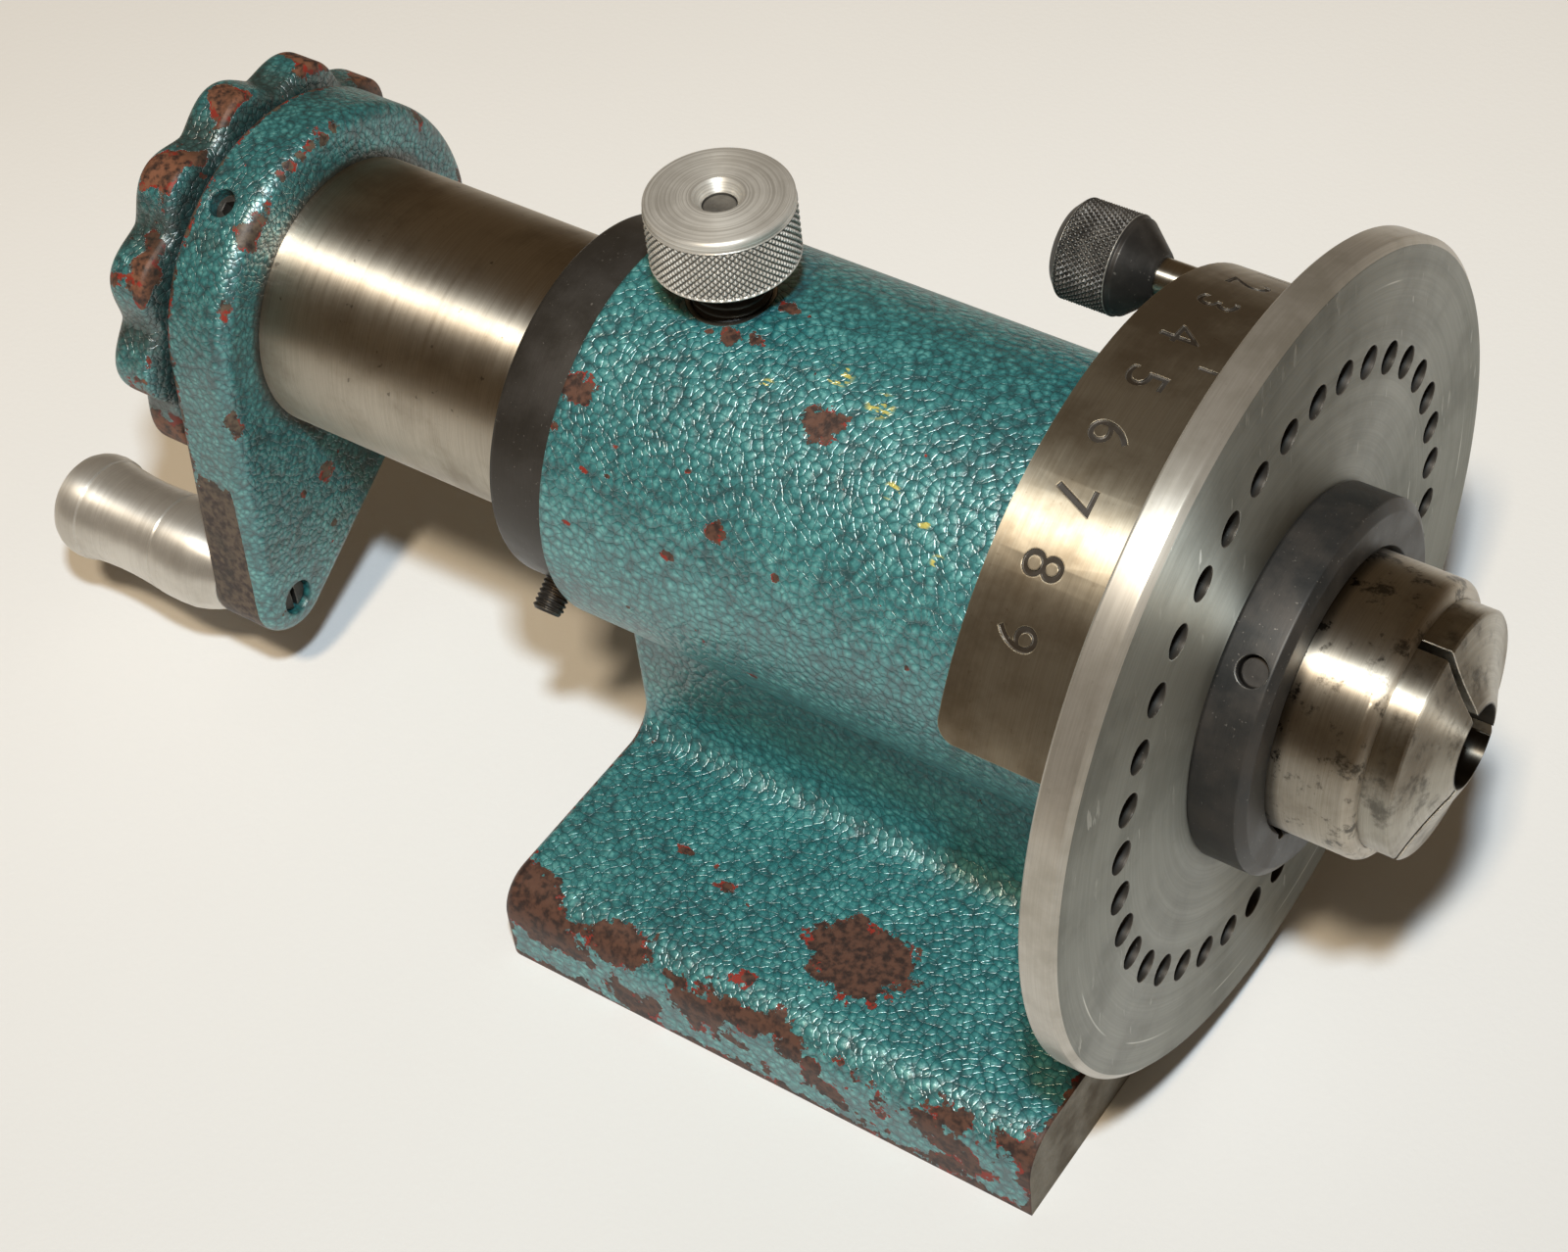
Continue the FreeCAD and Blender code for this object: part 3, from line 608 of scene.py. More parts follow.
def black_oxide(name, axis=X, centre=AXIS, colour=BLACK, edge=WORN_EDGE, bevel=0.0003, crest=None):
    """Blackened steel: dull, with edges, and crest(f), worn to metal and a dusting of wear."""
    f = Finish(name)
    ring = f.node("CombineXYZ", inputs={0: f.along(axis), 1: f.radius(axis, centre), 2: 0.0})
    fine = f.noise(5.0, 3.0, 0.7, f.vector("ADD", ring, f.vector("MULTIPLY", f.place, (60, 60, 60))))
    cloud = f.noise(110.0, 5.0, 0.6)
    dust = f.step(f.noise(1700.0, 2.0), 0.68, 0.76)
    base = f.mix(f.step(cloud, 0.35, 0.7), colour, DULL_PATCH)
    base = f.mix(f.times(fine, 0.4), base, DEEP_BLACK)
    base = f.mix(f.times(dust, 0.35), base, DUST)
    soft, rim = f.edges(bevel)
    worn = f.times(rim, f.step(f.noise(400.0, 4.0), 0.35, 0.6))
    if crest is not None:
        worn = f.most(worn, f.times(crest(f), 0.8))
    f.set(Base_Color=f.mix(worn, base, edge))
    f.set(Metallic=0.55)
    f.set(Roughness=f.step(cloud, 0.3, 0.7, 0.36, 0.52))
    f.set(Normal=f.bump(fine, 0.000008, 1.0, soft))
    return f


# ---------------------------------------------------------------------------- camera, floor and light


def make_camera():
    """A long lens that looks down on the collet's end from the right."""
    data = bpy.data.cameras.new("camera")
    camera = new_object("camera", data)
    bpy.context.scene.camera = camera
    azimuth, elevation, roll = (math.radians(a) for a in (39.256, 46.619, -7.289))
    level, rise = math.cos(elevation), math.sin(elevation)
    back = Vector((math.sin(azimuth) * level, -math.cos(azimuth) * level, rise))
    camera.rotation_mode = "QUATERNION"
    upright = (-back).to_track_quat("-Z", "Y")
    camera.rotation_quaternion = upright @ Matrix.Rotation(roll, 3, "Z").to_quaternion()
    camera.location = (0.1896, -0.2703, 0.4012)
    data.sensor_width = 36
    data.lens = 71.88
    data.clip_start = 0.01


def make_light(name, place, target, side, power, colour):
    """A square light at a place, facing a target."""
    data = bpy.data.lights.new(name, "AREA")
    data.shape = "RECTANGLE"
    data.size = data.size_y = side
    data.energy = power
    data.color = colour
    lamp = new_object(name, data)
    lamp.location = place
    lamp.rotation_euler = (Vector(target) - Vector(place)).to_track_quat("-Z", "Y").to_euler()


def make_floor():
    """Pale paper, painted lighter away from the lights and darker toward them to even out their fall-off."""
    reach = 4
    corners = [(-reach, -reach, 0), (reach, -reach, 0), (reach, reach, 0), (-reach, reach, 0)]
    mesh = bpy.data.meshes.new("floor")
    mesh.from_pydata(corners, [], [(0, 1, 2, 3)])
    floor = new_object("floor", mesh)
    f = Finish("paper")
    tint = f.mix(f.noise(6.0, 3.0), rgb(231, 232, 233), rgb(225, 226, 226))
    # Painted light: the paper is darker toward the lights and lighter away from them.
    toward_lights = f.vector("DOT_PRODUCT", f.place, (0.63, -0.77, 0), output=1)
    shade = f.step(toward_lights, -0.22, 0.24, 1.13, 0.77)
    f.set(Base_Color=f.node("VectorMath", inputs={0: tint, 3: shade}, operation="SCALE"), Roughness=0.9)
    f.set(Normal=f.bump(f.noise(900.0, 4.0), 0.0001, 0.4))
    dress(floor, f)


def make_studio():
    """The floor, a dim warm room, and two small lights on the camera's side: near and cool, far and warm."""
    make_floor()
    world = bpy.data.worlds.new("room")
    bpy.context.scene.world = world
    world.use_nodes = True
    room = world.node_tree.nodes["Background"].inputs
    room[0].default_value = rgb(104, 87, 66)
    room[1].default_value = 0.82
    bpy.context.scene.view_settings.view_transform = "Standard"
    cool, warm = (0.76, 0.88, 0.97), (1.0, 0.78, 0.52)
    make_light("near_light", (0.19, -0.255, 0.63), (-0.3, 0.3, 0), 0.045, 4.45, cool)
    make_light("warm_light", (0.28, -0.70, 1.4), (-0.8, 0.8, 0), 0.14, 14.8, warm)


make_camera()
make_studio()

# ---------------------------------------------------------------------------- casting

PAINTED, NUMBERED, GROUND, BORED, STAMPED = range(5)


def casting_chips():
    """Chips on the barrel as (place mm, angle, radius mm), and on the base's top as (x mm, y mm, radius mm)."""
    barrel = [
        (-7.8, 116, 2.3), (-47.0, 130, 2.2), (-18.1, 151.3, 1.2), (-25.8, 163.8, 0.8), (-42, 150, 0.5),
        (-44, 166.6, 0.5), (-37.6, 141, 0.5), (-25, 139.5, 0.5), (8.6, 113.7, 0.4), (-7.3, 157, 0.5),
        (15.7, 166.3, 0.5), (-13, -162, 0.6), (-34.4, -170.6, 0.6), (-38, 149, 0.4),
        (-48.6, 142, 0.8), (-28.5, 103, 1.3), (-24.2, 101.5, 1.0), (-24.0, 88, 1.1), (-32, 104, 0.6),
        (20, 60, 1.6), (-12, 35, 1.3), (-40, 22, 1.0), (2, 5, 1.5),
    ]
    found = [(about(x * MM, angle, BARREL), size, (0.75, 1, 1)) for x, angle, size in barrel]
    base = [
        (8.5, -41, 5.6, (0.62, 0.78, 1)), (14.5, -46.2, 1.0, (1, 0.6, 1)), (-17.6, -39.4, 1.0, (0.5, 1, 1)),
        (-26.9, -36.8, 0.8, (0.5, 1, 1)), (-4.7, -52.7, 1.6, (0.7, 1, 1)), (12, 44, 3.0, (0.7, 1, 1)),
        (-30, 40, 2.2, (1, 0.7, 1)), (-21, -37, 0.6, (1, 1, 1)), (-12, -41, 0.6, (1, 1, 1)),
    ]
    found += [(Vector((x * MM, y * MM, BASE_TOP)), size, shape) for x, y, size, shape in base]
    return found


def lock_seat(f):
    """The machined ring round the lock's threaded hole."""
    near = f.step(f.radius(Z, middle("lock_stud")), 6.75, 6.95, 1.0, 0.0)
    return f.times(near, f.step(f.split(2), 0.088, 0.09))


def casting_marks():
    """Dabs of yellow marking paint on the barrel, as a point and a radius in mm."""
    spots = [
        (-9.7, 102, 2.6), (-1.5, 106, 2.6), (-18.9, 112, 1.4), (12.7, 129, 1.3),
        (16.7, 137, 1.4), (6.2, 125, 1.6),
    ]
    return [(about(x * MM, angle, BARREL), size) for x, angle, size in spots]


def casting_wear(f, shake):
    """Paint knocked off along the base's long roundings, its lower edges and its ends."""
    y, z, x = f.math("ABSOLUTE", f.split(1)), f.split(2), f.split(0)

    def blotches(scale, detail, middle_value, size):
        return f.times(f.minus(f.noise(scale, detail), middle_value), size)

    rounding = f.node("CombineXYZ", inputs={0: 0.0, 1: y, 2: z})
    line = f.far_from((0, 56.8 * MM, 13.2 * MM), place=rounding)
    rear_more = f.step(x, -0.05, -0.016, 4.8, 0.9)
    edge = f.minus(f.plus(rear_more, blotches(85.0, 3.0, 0.48, 26.0)), line)
    edge = f.plus(edge, f.times(shake, 1.6))
    side = f.plus(blotches(140.0, 4.0, 0.53, 20.0), f.times(shake, 0.6))
    side = f.plus(side, f.step(y, 0.0565, 0.0578, -9.0, 0.0))
    foot = f.times(f.minus(0.0011, z), 1000.0)
    foot = f.plus(foot, f.times(shake, 0.8))
    front = f.times(f.minus(x, 0.0484), 1000.0)
    front = f.plus(f.plus(front, f.step(z, 0.0165, 0.018, 0.0, -9.0)), f.times(shake, 0.7))
    rear = f.times(f.minus(-0.0484, x), 1000.0)
    rear = f.plus(f.plus(rear, f.step(z, 0.0165, 0.018, 0.0, -2.5)), f.times(shake, 0.8))
    return f.most(f.most(f.most(edge, side), f.most(foot, front)), rear)


def casting_slot(face, front):
    """Which of the casting's finishes a face takes."""
    centre, normal = face.center, face.normal
    radius = off_axis(centre)
    upper = centre.z > AXIS.z
    barrel_end = radius < BARREL and normal.x < -0.98 and centre.z > 46 * MM
    index_hole = abs(radius - HOLE_CIRCLE) < 3.2 * MM and upper and abs(normal.x) < 0.9
    if radius < 23.2 * MM or barrel_end or (index_hole and front - 9 * MM < centre.x < front):
        return BORED
    flange_face = centre.x > front - 0.05 * MM and normal.x > 0.9
    base_end = centre.z < BASE_TOP + 0.2 * MM and normal.x > 0.98
    if flange_face or base_end or centre.z < 0.05 * MM:
        return GROUND
    if centre.x > 31.1 * MM and radius > RIM - 0.5 * MM and upper:
        sunk = radius < RIM - 0.02 * MM and centre.x < front - 1.2 * MM
        return STAMPED if sunk else NUMBERED
    return PAINTED


def make_casting():
    """The stand: figures pressed into the flange's rim, painted faces and machined ones."""
    piece = copy_of("housing_casting")
    cutters = []
    for number in range(10):
        point = about(38.5 * MM, 40.5 + 11 * number, RIM)
        cutters.append(digit_cutter(str(number), point, outward(point), X, 8.6 * MM, 0.3 * MM))
    cutters.append(bar_cutter(0.3 * MM, 1.4 * MM, 0.3 * MM, frame_at(about(45.3 * MM, 90, RIM), X, Z)))
    cut(piece, cutters)
    front = span("housing_casting")[1]
    for face in piece.data.polygons:
        face.material_index = casting_slot(face, front)
    paint = hammertone(
        "casting_paint", casting_chips(), casting_wear, marks=casting_marks(), machined=lock_seat
    )
    rim = steel(
        "rim_steel", rgb(160, 150, 132), rgb(118, 104, 84), (0.42, 0.5),
        metallic=0.9, lines=0.8, blotch=0.8, edge=rgb(196, 184, 160), bevel=0.00025,
    )
    ground = steel(
        "base_ground", rgb(150, 145, 134), rgb(104, 94, 80), (0.42, 0.55), axis=Z, lines=0.4, blotch=0.9
    )
    bore = steel("barrel_bore", rgb(120, 114, 104), rgb(70, 64, 56), (0.3, 0.45))
    stamped = black_oxide("stamped", colour=rgb(58, 48, 36))
    stand_for(piece, "housing_casting", paint, rim, ground, bore, stamped)


make_casting()

# ---------------------------------------------------------------------------- plate, nut and collar


def make_plate():
    """The index plate: 36 holes, a scratched face and two ticks in its rim."""
    rear, front = span("index_plate")
    low, high = span("index_plate", 1)
    outer = (high - low) / 2
    corners = [
        (rear, NOSE_BORE, 0), (front, NOSE_BORE, 0.3 * MM), (front, outer - 1.1 * MM, 0.25 * MM),
        (front - 0.9 * MM, outer, 0.3 * MM), (rear + 0.4 * MM, outer, 0.2 * MM),
        (rear, outer - 0.4 * MM, 0.2 * MM),
    ]
    piece = lathe("plate", soften(corners), segments=288)
    cutters = []
    for number in range(36):
        point = about(front, FIRST_HOLE + 10 * number, HOLE_CIRCLE)
        cutters.append(rod_cutter(point, X, 2.48 * MM, 8 * MM, 0.08 * MM))
    for angle in (-148.3, -146.5):
        point = about(front - 2.6 * MM, angle, outer)
        cutters.append(bar_cutter(0.16 * MM, 1.5 * MM, 0.12 * MM, frame_at(point, X, outward(point))))
    cut(piece, cutters, 25)
    for face in piece.data.polygons:
        radius = off_axis(face.center)
        in_hole = abs(radius - HOLE_CIRCLE) < 2.7 * MM and abs(face.normal.x) < 0.9
        face.material_index = 2 if in_hole else int(radius > outer - 1.0 * MM)
    satin = steel(
        "plate_satin", rgb(148, 149, 142), rgb(110, 111, 104), (0.46, 0.54),
        lines=0.35, blotch=0.5, edge=rgb(226, 224, 216), metallic=0.85, scribed=57.5,
    )
    rim = steel(
        "plate_rim", rgb(196, 191, 182), rgb(152, 146, 133), (0.36, 0.44),
        lines=0.6, blotch=0.6, metallic=0.8, brushed=0.8,
    )
    # The holes' walls are painted dark: painted shade inside the holes.
    stand_for(piece, "index_plate", satin, rim, black_oxide("plate_hole", colour=rgb(70, 66, 60)))


def make_nut():
    """The plate's black nut, with a radial hole and a notch in its bore."""
    rear, front = span("hub_nut")
    outer = 28.45 * MM
    corners = [
        (rear, NOSE_BORE, 0), (front - 1.2 * MM, NOSE_BORE, 0), (front, NOSE_BORE + 0.8 * MM, 0.2 * MM),
        (front, outer - 1.6 * MM, 0.5 * MM), (front - 1.0 * MM, outer, 0.4 * MM),
        (rear + 0.5 * MM, outer, 0.2 * MM), (rear, outer - 0.4 * MM, 0.1 * MM),
    ]
    piece = lathe("nut", soften(corners))
    point = about(*NUT_HOLE, outer)
    out = outward(point)
    depth = 9 * MM
    notch = about(front, -138, NOSE_BORE)
    cut(piece, [rod_cutter(point, out, 2.3 * MM, depth, 0.1 * MM), rod_cutter(notch, X, 1.5 * MM, 2.4 * MM)])
    for face in piece.data.polygons:
        reach = (face.center - point).dot(out)
        aside = (face.center - point - out * reach).length
        face.material_index = int(aside < 2.36 * MM and -depth < reach < -0.1 * MM)
    black = black_oxide("nut_black", colour=rgb(54, 55, 55), edge=rgb(196, 192, 184))
    # The radial hole's inside is painted near black: painted shade in the hole.
    stand_for(piece, "hub_nut", black, black_oxide("nut_hole_shade", colour=rgb(20, 19, 18)))


def make_collar():
    """The stop collar, with its screw's hole."""
    rear, front = span("stop_collar")
    outer = 30.0 * MM
    inner = 22.97 * MM
    corners = [
        (rear, inner, 0.3 * MM), (front, inner, 0.3 * MM), (front, outer, 0.9 * MM), (rear, outer, 0.9 * MM),
    ]
    piece = lathe("collar", soften(corners))
    point = about((rear + front) / 2, COLLAR_SCREW_ANGLE, outer)
    cut(piece, [rod_cutter(point, outward(point), 2.55 * MM, 12 * MM, 0.15 * MM)])
    stand_for(piece, "stop_collar", black_oxide("collar_black", colour=rgb(62, 58, 53)))


make_plate()
make_nut()
make_collar()

# ---------------------------------------------------------------------------- knurled and threaded pieces


def triangle(value):
    """A wave from 0 in its valleys to 1 on its crests, once per unit."""
    return 1 - np.abs(2 * (value - np.floor(value)) - 1)


def fade_between(along, low, high, reach):
    """1 between two places, falling to 0 at each over a reach."""
    return np.clip((along - low) / reach, 0, 1) * np.clip((high - along) / reach, 0, 1)


def knurl(low, high, count, pitch, depth, flat):
    """Crossed grooves between two places along the axis: count round it, and one for each pitch along it."""
    lead = count * pitch

    def relief(angle, along, out):
        turns = angle / (2 * np.pi) * count
        slope = along / lead * count
        rise = np.minimum(triangle(turns + slope), triangle(turns - slope))
        rise = np.minimum(rise / flat, 1.0)
        fade = fade_between(along, low, high, 0.25 * MM)
        outer = out > out.max() - 0.02 * MM
        return -depth * (1 - rise) * fade * outer

    return relief


def thread(low, high, pitch, depth, least):
    """A helical thread between two places along the axis, on points further out than least."""

    def relief(angle, along, out):
        wave = triangle(along / pitch + angle / (2 * np.pi))
        fade = fade_between(along, low, high, 0.3 * MM)
        return -depth * (1 - np.minimum(wave * 1.25, 1.0)) * fade * (out > least)

    return relief


def make_lock():
    """Knurled alloy knob on a black threaded stud."""
    centre = middle("lock_knob")
    lowered = 0.5 * MM
    foot, top = (level - lowered for level in span("lock_knob", 2))
    outer = 11.2 * MM
    stud_low, stud_high = span("lock_stud", 2)
    shank = 6.1 * MM
    band = top - 1.75 * MM
    corners = [
        (foot, shank, 0), (foot, outer - 0.9 * MM, 0.3 * MM), (foot + 0.9 * MM, outer, 0.2 * MM),
        (band, outer, 0.05 * MM), (band + 0.1 * MM, outer - 0.12 * MM, 0), (top, outer - 0.12 * MM, 2.0 * MM),
        (top, 3.9 * MM, 0.15 * MM), (top - 1.7 * MM, 2.6 * MM, 0.1 * MM), (stud_high, 2.6 * MM, 0),
        (stud_high, shank, 0),
    ]
    points = refine(soften(corners, 6), foot + 0.8 * MM, band, 0.13 * MM)
    grooves = knurl(foot + 1.0 * MM, band, 62, 1.15 * MM, 0.4 * MM, 0.62)

    def dirt(f):
        """Dark grooves in the knurl."""
        band_only = f.step(f.along(Z), band / MM - 0.1, band / MM, 1.0, 0.0)
        return f.times(f.step(f.radius(Z, centre), 10.82, 11.12, 0.85, 0.0), band_only)

    knob = lathe("knob", points, Z, centre, 620, grooves)
    alloy = steel(
        "knob_alloy", rgb(222, 219, 212), rgb(142, 136, 126), (0.4, 0.52), axis=Z, centre=centre,
        lines=0.4, blotch=0.4, edge=rgb(235, 232, 226), metallic=0.6, bevel=0.0002, grain=0.00003,
        brushed=0.5, dirt=dirt, turned=0.6,
    )
    stand_for(knob, "lock_knob", alloy)
    corners = [
        (stud_low, 0), (stud_low, shank - 1.0 * MM), (stud_low + 1.0 * MM, shank), (stud_high, shank),
        (stud_high, 2.5 * MM), (top - 2.1 * MM, 2.5 * MM), (top - 1.9 * MM, 2.2 * MM), (top - 2.0 * MM, 0),
    ]
    points = refine(corners, stud_low + 0.9 * MM, stud_high, 0.12 * MM)
    threading = thread(stud_low + MM, foot - 0.1 * MM, 1.5 * MM, 0.75 * MM, 5 * MM)
    stud = lathe("stud", points, Z, centre, 96, threading, closed=False)
    for face in stud.data.polygons:
        face.material_index = int(face.center.z > top - 2.5 * MM)
    threads = black_oxide("stud_black", Z, centre, colour=rgb(42, 40, 38))
    stand_for(stud, "lock_stud", threads, black_oxide("stud_end", Z, centre, colour=rgb(142, 138, 130)))


def make_pin():
    """Index pin with its black knurled knob."""
    centre = middle("index_pin_knob")
    rear, front = span("index_pin_knob")
    outer = 7.7 * MM
    band = rear + 9.6 * MM
    corners = [
        (rear, 0, 0), (rear, outer - 1.6 * MM, 0.5 * MM), (rear + 1.5 * MM, outer, 0.5 * MM),
        (band, outer, 0.1 * MM), (band + 0.4 * MM, outer - 0.35 * MM, 0.1 * MM),
        (front - 4.6 * MM, outer - 0.35 * MM, 0.3 * MM),
        (front - 0.4 * MM, 3.9 * MM, 0.4 * MM), (front, 3.5 * MM, 0.1 * MM), (front, 2.9 * MM, 0),
    ]
    points = refine(soften(corners), rear + 1.6 * MM, band, 0.12 * MM)
    grooves = knurl(rear + 1.5 * MM, band, 50, 1.25 * MM, 0.4 * MM, 0.9)
    knob = lathe("pin_knob", points, X, centre, 560, grooves, closed=False)

    def crest(f):
        """Bright tops of the knurl."""
        return f.step(f.radius(X, centre), outer / MM - 0.1, outer / MM - 0.02)

    black = black_oxide("pin_knob_black", X, centre, rgb(48, 46, 44), rgb(176, 172, 164), 0.00015, crest)
    stand_for(knob, "index_pin_knob", black)
    keep("index_pin", steel("pin_steel", rgb(186, 180, 168), rgb(120, 110, 96), (0.34, 0.42), centre=centre))


def radial_piece(name, place, angle, points, relief=None):
    """A lathed piece standing out from the spindle's axis at an angle, from (out, radius) points."""
    piece = lathe(name, points, Z, Vector(), 60, relief, closed=False)
    root = about(place, 0, 0)
    turn = outward(about(place, angle, 1)).to_track_quat("Z", "X").to_matrix().to_4x4()
    piece.data.transform(Matrix.Translation(root) @ turn)
    return piece


def make_nut_screw():
    """Flat-ended screw in the nut's radial hole."""
    low, high, radius = 20.96 * MM, 26.6 * MM, 2.28 * MM
    points = [(low, 0), (low, radius), (high - 0.3 * MM, radius), (high, radius - 0.3 * MM), (high, 0)]
    piece = radial_piece("nut_screw", *NUT_HOLE, points)
    black = black_oxide("nut_screw_black", X, AXIS, rgb(58, 56, 54))
    stand_for(piece, "hub_nut_screw", black)


def make_collar_screw():
    """Black set screw standing out of the collar, with its thread and socket."""
    centre = middle("stop_collar")
    low, high, outer, socket = 23.0 * MM, 35.3 * MM, 2.5 * MM, 1.25 * MM
    corners = [
        (low, 0), (low, outer - 0.4 * MM), (low + 0.4 * MM, outer), (high - 0.5 * MM, outer),
        (high, outer - 0.5 * MM), (high, socket), (high - 2.4 * MM, socket), (high - 2.6 * MM, 0),
    ]
    points = refine(corners, low + 0.4 * MM, high - 0.5 * MM, 0.08 * MM)
    threading = thread(low, high, 0.8 * MM, 0.38 * MM, 2 * MM)
    screw = radial_piece("screw", centre.x, COLLAR_SCREW_ANGLE, points, threading)
    black = black_oxide("screw_black", X, centre, rgb(44, 41, 38), rgb(140, 128, 112))
    stand_for(screw, "collar_screw", black)


make_lock()
make_pin()
make_collar_screw()
make_nut_screw()

# ---------------------------------------------------------------------------- crank and wheel


def crank_chips():
    """Chips on the crank, from (place mm, angle, radius from the axis mm, size mm, stretch) spots."""
    spots = [
        (-114.0, 147.6, 30.1, 1.3, (1, 1, 0.8)), (-114.0, 150.5, 30.4, 0.9, (1, 1, 1)),
        (-113.8, -171.5, 31.2, 1.5, (1, 1, 0.7)), (-113.2, -119.4, 32.6, 1.6, (1, 1, 0.8)),
        (-113.2, -127.6, 35.3, 0.8, (1, 1, 1)), (-113.2, -113.0, 42.9, 0.9, (1, 1, 1)),
        (-113.6, 40, 30.5, 2.0, (1, 1, 1)), (-113.6, 5, 30.5, 1.8, (1, 1, 1)), (-125, 20, 31, 2.0, (1, 1, 1)),
    ]
    upper = [(81, 1.1), (86, 1.6), (91, 1.3), (96, 0.9), (101, 1.0), (105, 0.8)]
    lower = [(116, 1.3), (120, 1.5), (124, 1.7), (128, 1.5)]
    spots += [(-113.8, angle, 30.8, size, (0.8, 1, 1)) for angle, size in upper]
    spots += [(-114.2, angle, 29.9, size, (0.7, 1, 1)) for angle, size in lower]
    return [(about(x * MM, angle, radius * MM), size, shape) for x, angle, radius, size, shape in spots]


def crank_wear(f, shake):
    """The arm's sides are rubbed to bare iron below its middle, and the crank's rear all over."""
    offset = f.vector("SUBTRACT", f.place, tuple(AXIS))
    down = f.vector("DOT_PRODUCT", offset, tuple(1000 * a for a in ARM), output=1)
    x = f.split(0)
    face = f.step(x, -0.1166, -0.1152, 0.0, -30.0)
    side = f.plus(f.minus(down, 33.5), face)
    rear = f.times(f.minus(-0.1243, x), 1000.0)
    return f.most(f.plus(side, f.times(shake, 1.5)), f.plus(rear, f.times(shake, 0.6)))


def mottled_grime(f, most):
    """Old oil in blotches."""
    return f.step(f.noise(210.0, 5.0, 0.65), 0.5, 0.68, 0.0, most)


def crank_grime(f):
    """Grime in blotches, and painted shade in the corner round the spindle."""
    # Painted shade: darker in the corner where the hub meets the spindle.
    corner = f.step(f.radius(), 23.3, 25.6, 0.9, 0.0)
    return f.most(corner, mottled_grime(f, 0.45))


def make_crank():
    """The crank keeps its CAD shape."""
    paint = hammertone(
        "crank_paint", crank_chips(), crank_wear, cell=900.0, bright=0.84, iron=rgb(90, 76, 62),
        specks=0.72, relief=0.00014, grime_and_shade=crank_grime,
    )
    stand_for(copy_of("crank_casting"), "crank_casting", paint)


def wheel_grime(f):
    """Darker in the hollows between the lobes and in the groove beside the crank, and grime in blotches."""
    hollow = f.step(f.radius(), 31.6, 34.2, 0.7, 0.0)
    groove = f.step(f.split(0), -0.1285, -0.1272, 0.0, 0.75)
    return f.most(f.most(hollow, groove), mottled_grime(f, 0.5))


def wheel_wear(f, shake):
    """Lobes rubbed through on their crests, most near the groove."""
    radius = f.radius()
    x = f.split(0)
    forward = f.step(x, -0.1385, -0.1275, -0.9, 1.3)
    patches = f.times(f.minus(f.noise(95.0, 2.0), 0.5), 9.0)
    crest = f.minus(f.plus(f.plus(radius, forward), patches), 33.9)
    return f.plus(crest, f.times(shake, 0.35))


def make_wheel():
    """Handwheel with twelve rounded lobes that swell out of a plain disc."""
    rear, front = span("draw_handwheel")
    count, crest, valley, bore = 12, 34.5 * MM, 31.3 * MM, 18.52 * MM
    corners = [
        (rear, bore, 0.3 * MM), (front, bore, 0.3 * MM), (front, valley - 3.5 * MM, 0.4 * MM),
        (front - 1.0 * MM, valley - 1.2 * MM, 0.8 * MM), (front - 2.2 * MM, valley, 0.8 * MM),
        (rear + 4.5 * MM, valley, 3.0 * MM), (rear + 0.6 * MM, valley - 5.5 * MM, 3.0 * MM),
        (rear, valley - 8.0 * MM, 0.4 * MM),
    ]
    points = refine(soften(corners, 8), rear, front, 0.5 * MM)

    def relief(angle, along, out):
        lobe = (0.5 + 0.5 * np.cos(count * angle)) ** 0.75
        fade = np.clip((along - rear + 0.2 * MM) / (3.2 * MM), 0, 1)
        fade = fade * fade * (3 - 2 * fade)
        ahead = np.clip((front - 0.5 * MM - along) / (1.2 * MM), 0, 1)
        return (crest - valley) * lobe * np.sqrt(fade) * ahead * (out > valley - 6 * MM)

    piece = lathe("wheel", points, X, AXIS, 480, relief)
    paint = hammertone(
        "wheel_paint", (), wheel_wear, cell=900.0, bright=0.85, iron=rgb(116, 76, 56),
        specks=0.68, relief=0.00016, grime_and_shade=wheel_grime,
    )
    stand_for(piece, "draw_handwheel", paint)


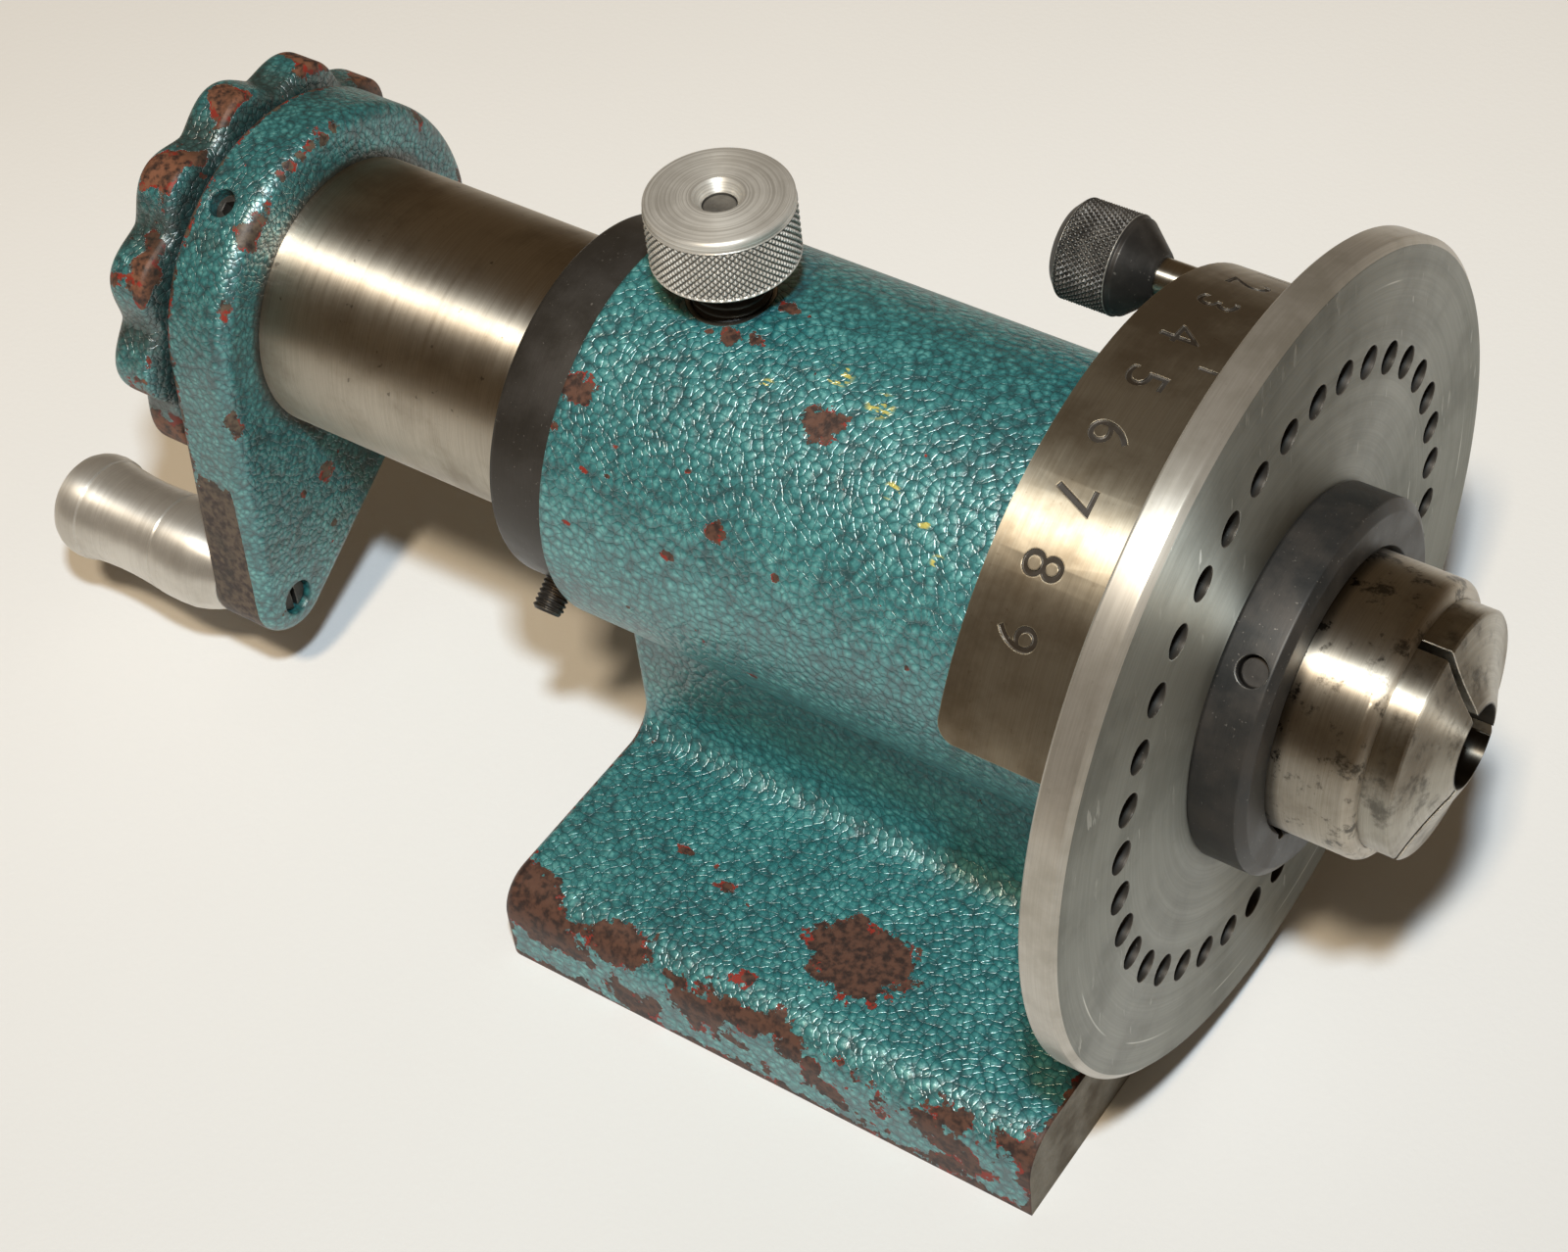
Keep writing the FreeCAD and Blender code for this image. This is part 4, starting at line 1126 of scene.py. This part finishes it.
def make_grip():
    """Turned steel crank handle."""
    centre = middle("crank_grip")
    rear, front = span("crank_grip")
    outline = [
        (0, 5.2), (0.0, 5.6), (0.3, 6.6), (0.9, 7.6), (1.8, 8.5), (3.0, 9.15), (4.2, 9.5), (5.4, 9.6),
        (6.6, 9.5), (7.2, 9.4), (7.4, 9.1), (7.7, 9.15), (9.0, 8.9), (11.5, 8.65), (14.5, 8.5), (17.5, 8.5),
        (20.5, 8.65), (22.5, 8.8), (23.9, 8.95), (24.2, 8.75), (24.5, 8.95), (25.4, 9.1), (27.0, 9.2),
        (29.5, 9.2), (32.0, 9.05), (34.0, 8.55), (35.8, 7.9), (37.2, 7.3), (38.0, 7.1),
    ]
    bore, head, head_depth = 4.06 * MM, 5.1 * MM, 5.1 * MM
    points = [(rear + along * MM, radius * MM) for along, radius in outline]
    points += [(front, 7.0 * MM), (front, bore)]
    points += [(rear + head_depth, bore), (rear + head_depth, head), (rear, head)]
    bright = steel(
        "grip_steel", rgb(222, 218, 210), rgb(166, 159, 148), (0.42, 0.5), centre=centre,
        lines=1.2, blotch=0.45, metallic=0.8, brushed=0.8, edge=rgb(236, 232, 224),
    )
    stand_for(lathe("grip", points, X, centre, 160), "crank_grip", bright)
    keep("handle_screw", black_oxide("handle_screw_steel", X, centre, rgb(84, 80, 74), rgb(170, 164, 154)))


make_crank()
make_wheel()
make_grip()

# ---------------------------------------------------------------------------- the rest


def nose_stains(f):
    """Brown spots on the nose, and darker just in front of the nut."""
    x = f.split(0)
    spots = f.step(f.noise(240.0, 5.0, 0.7), 0.54, 0.66, 0.0, 0.75)
    # Darker just in front of the nut.
    near_nut = f.plus(f.step(x, 0.0668, 0.0685, 0.7, 0.0), spots)
    beside = f.times(near_nut, f.step(x, 0.062, 0.066))
    dots = f.step(f.noise(520.0, 2.0), 0.7, 0.76, 0.0, 0.5)
    return f.most(beside, dots, clamp=True)


def collet_stains(f):
    """Painted shade in the bore, and stains on the collet's face."""
    # Painted shade: the bore is darkened.
    bore = f.step(f.radius(), 6.45, 6.7, 0.9, 0.0)
    return f.most(bore, f.step(f.noise(200.0, 5.0, 0.65), 0.5, 0.68, 0.1, 0.65))


def make_rest():
    """Pieces that keep their CAD shapes."""
    ground = steel(
        "spindle_ground", rgb(192, 184, 170), rgb(128, 114, 96), (0.38, 0.45),
        lines=0.8, blotch=0.5, edge=rgb(220, 212, 198), dirt=nose_stains,
    )
    worn = steel(
        "collet_steel", rgb(190, 185, 173), rgb(124, 112, 96), (0.36, 0.46),
        lines=1.4, blotch=0.6, edge=rgb(226, 218, 204), dirt=collet_stains,
    )
    brass = steel("pad_brass", rgb(196, 160, 88), rgb(140, 106, 50), axis=Z, centre=middle("lock_pad"))
    keep("spindle_tube", ground)
    keep("spring_collet", worn)
    keep("draw_tube", steel("tube_steel", rgb(168, 158, 142), rgb(98, 86, 70)))
    keep("thrust_washer", black_oxide("washer_black"))
    keep("lock_pad", brass)
    for node in ("collet_key", "crank_hub_screw", "handwheel_screw"):
        keep(node, black_oxide(node + "_black", X, middle(node), rgb(46, 44, 42)))


make_rest()
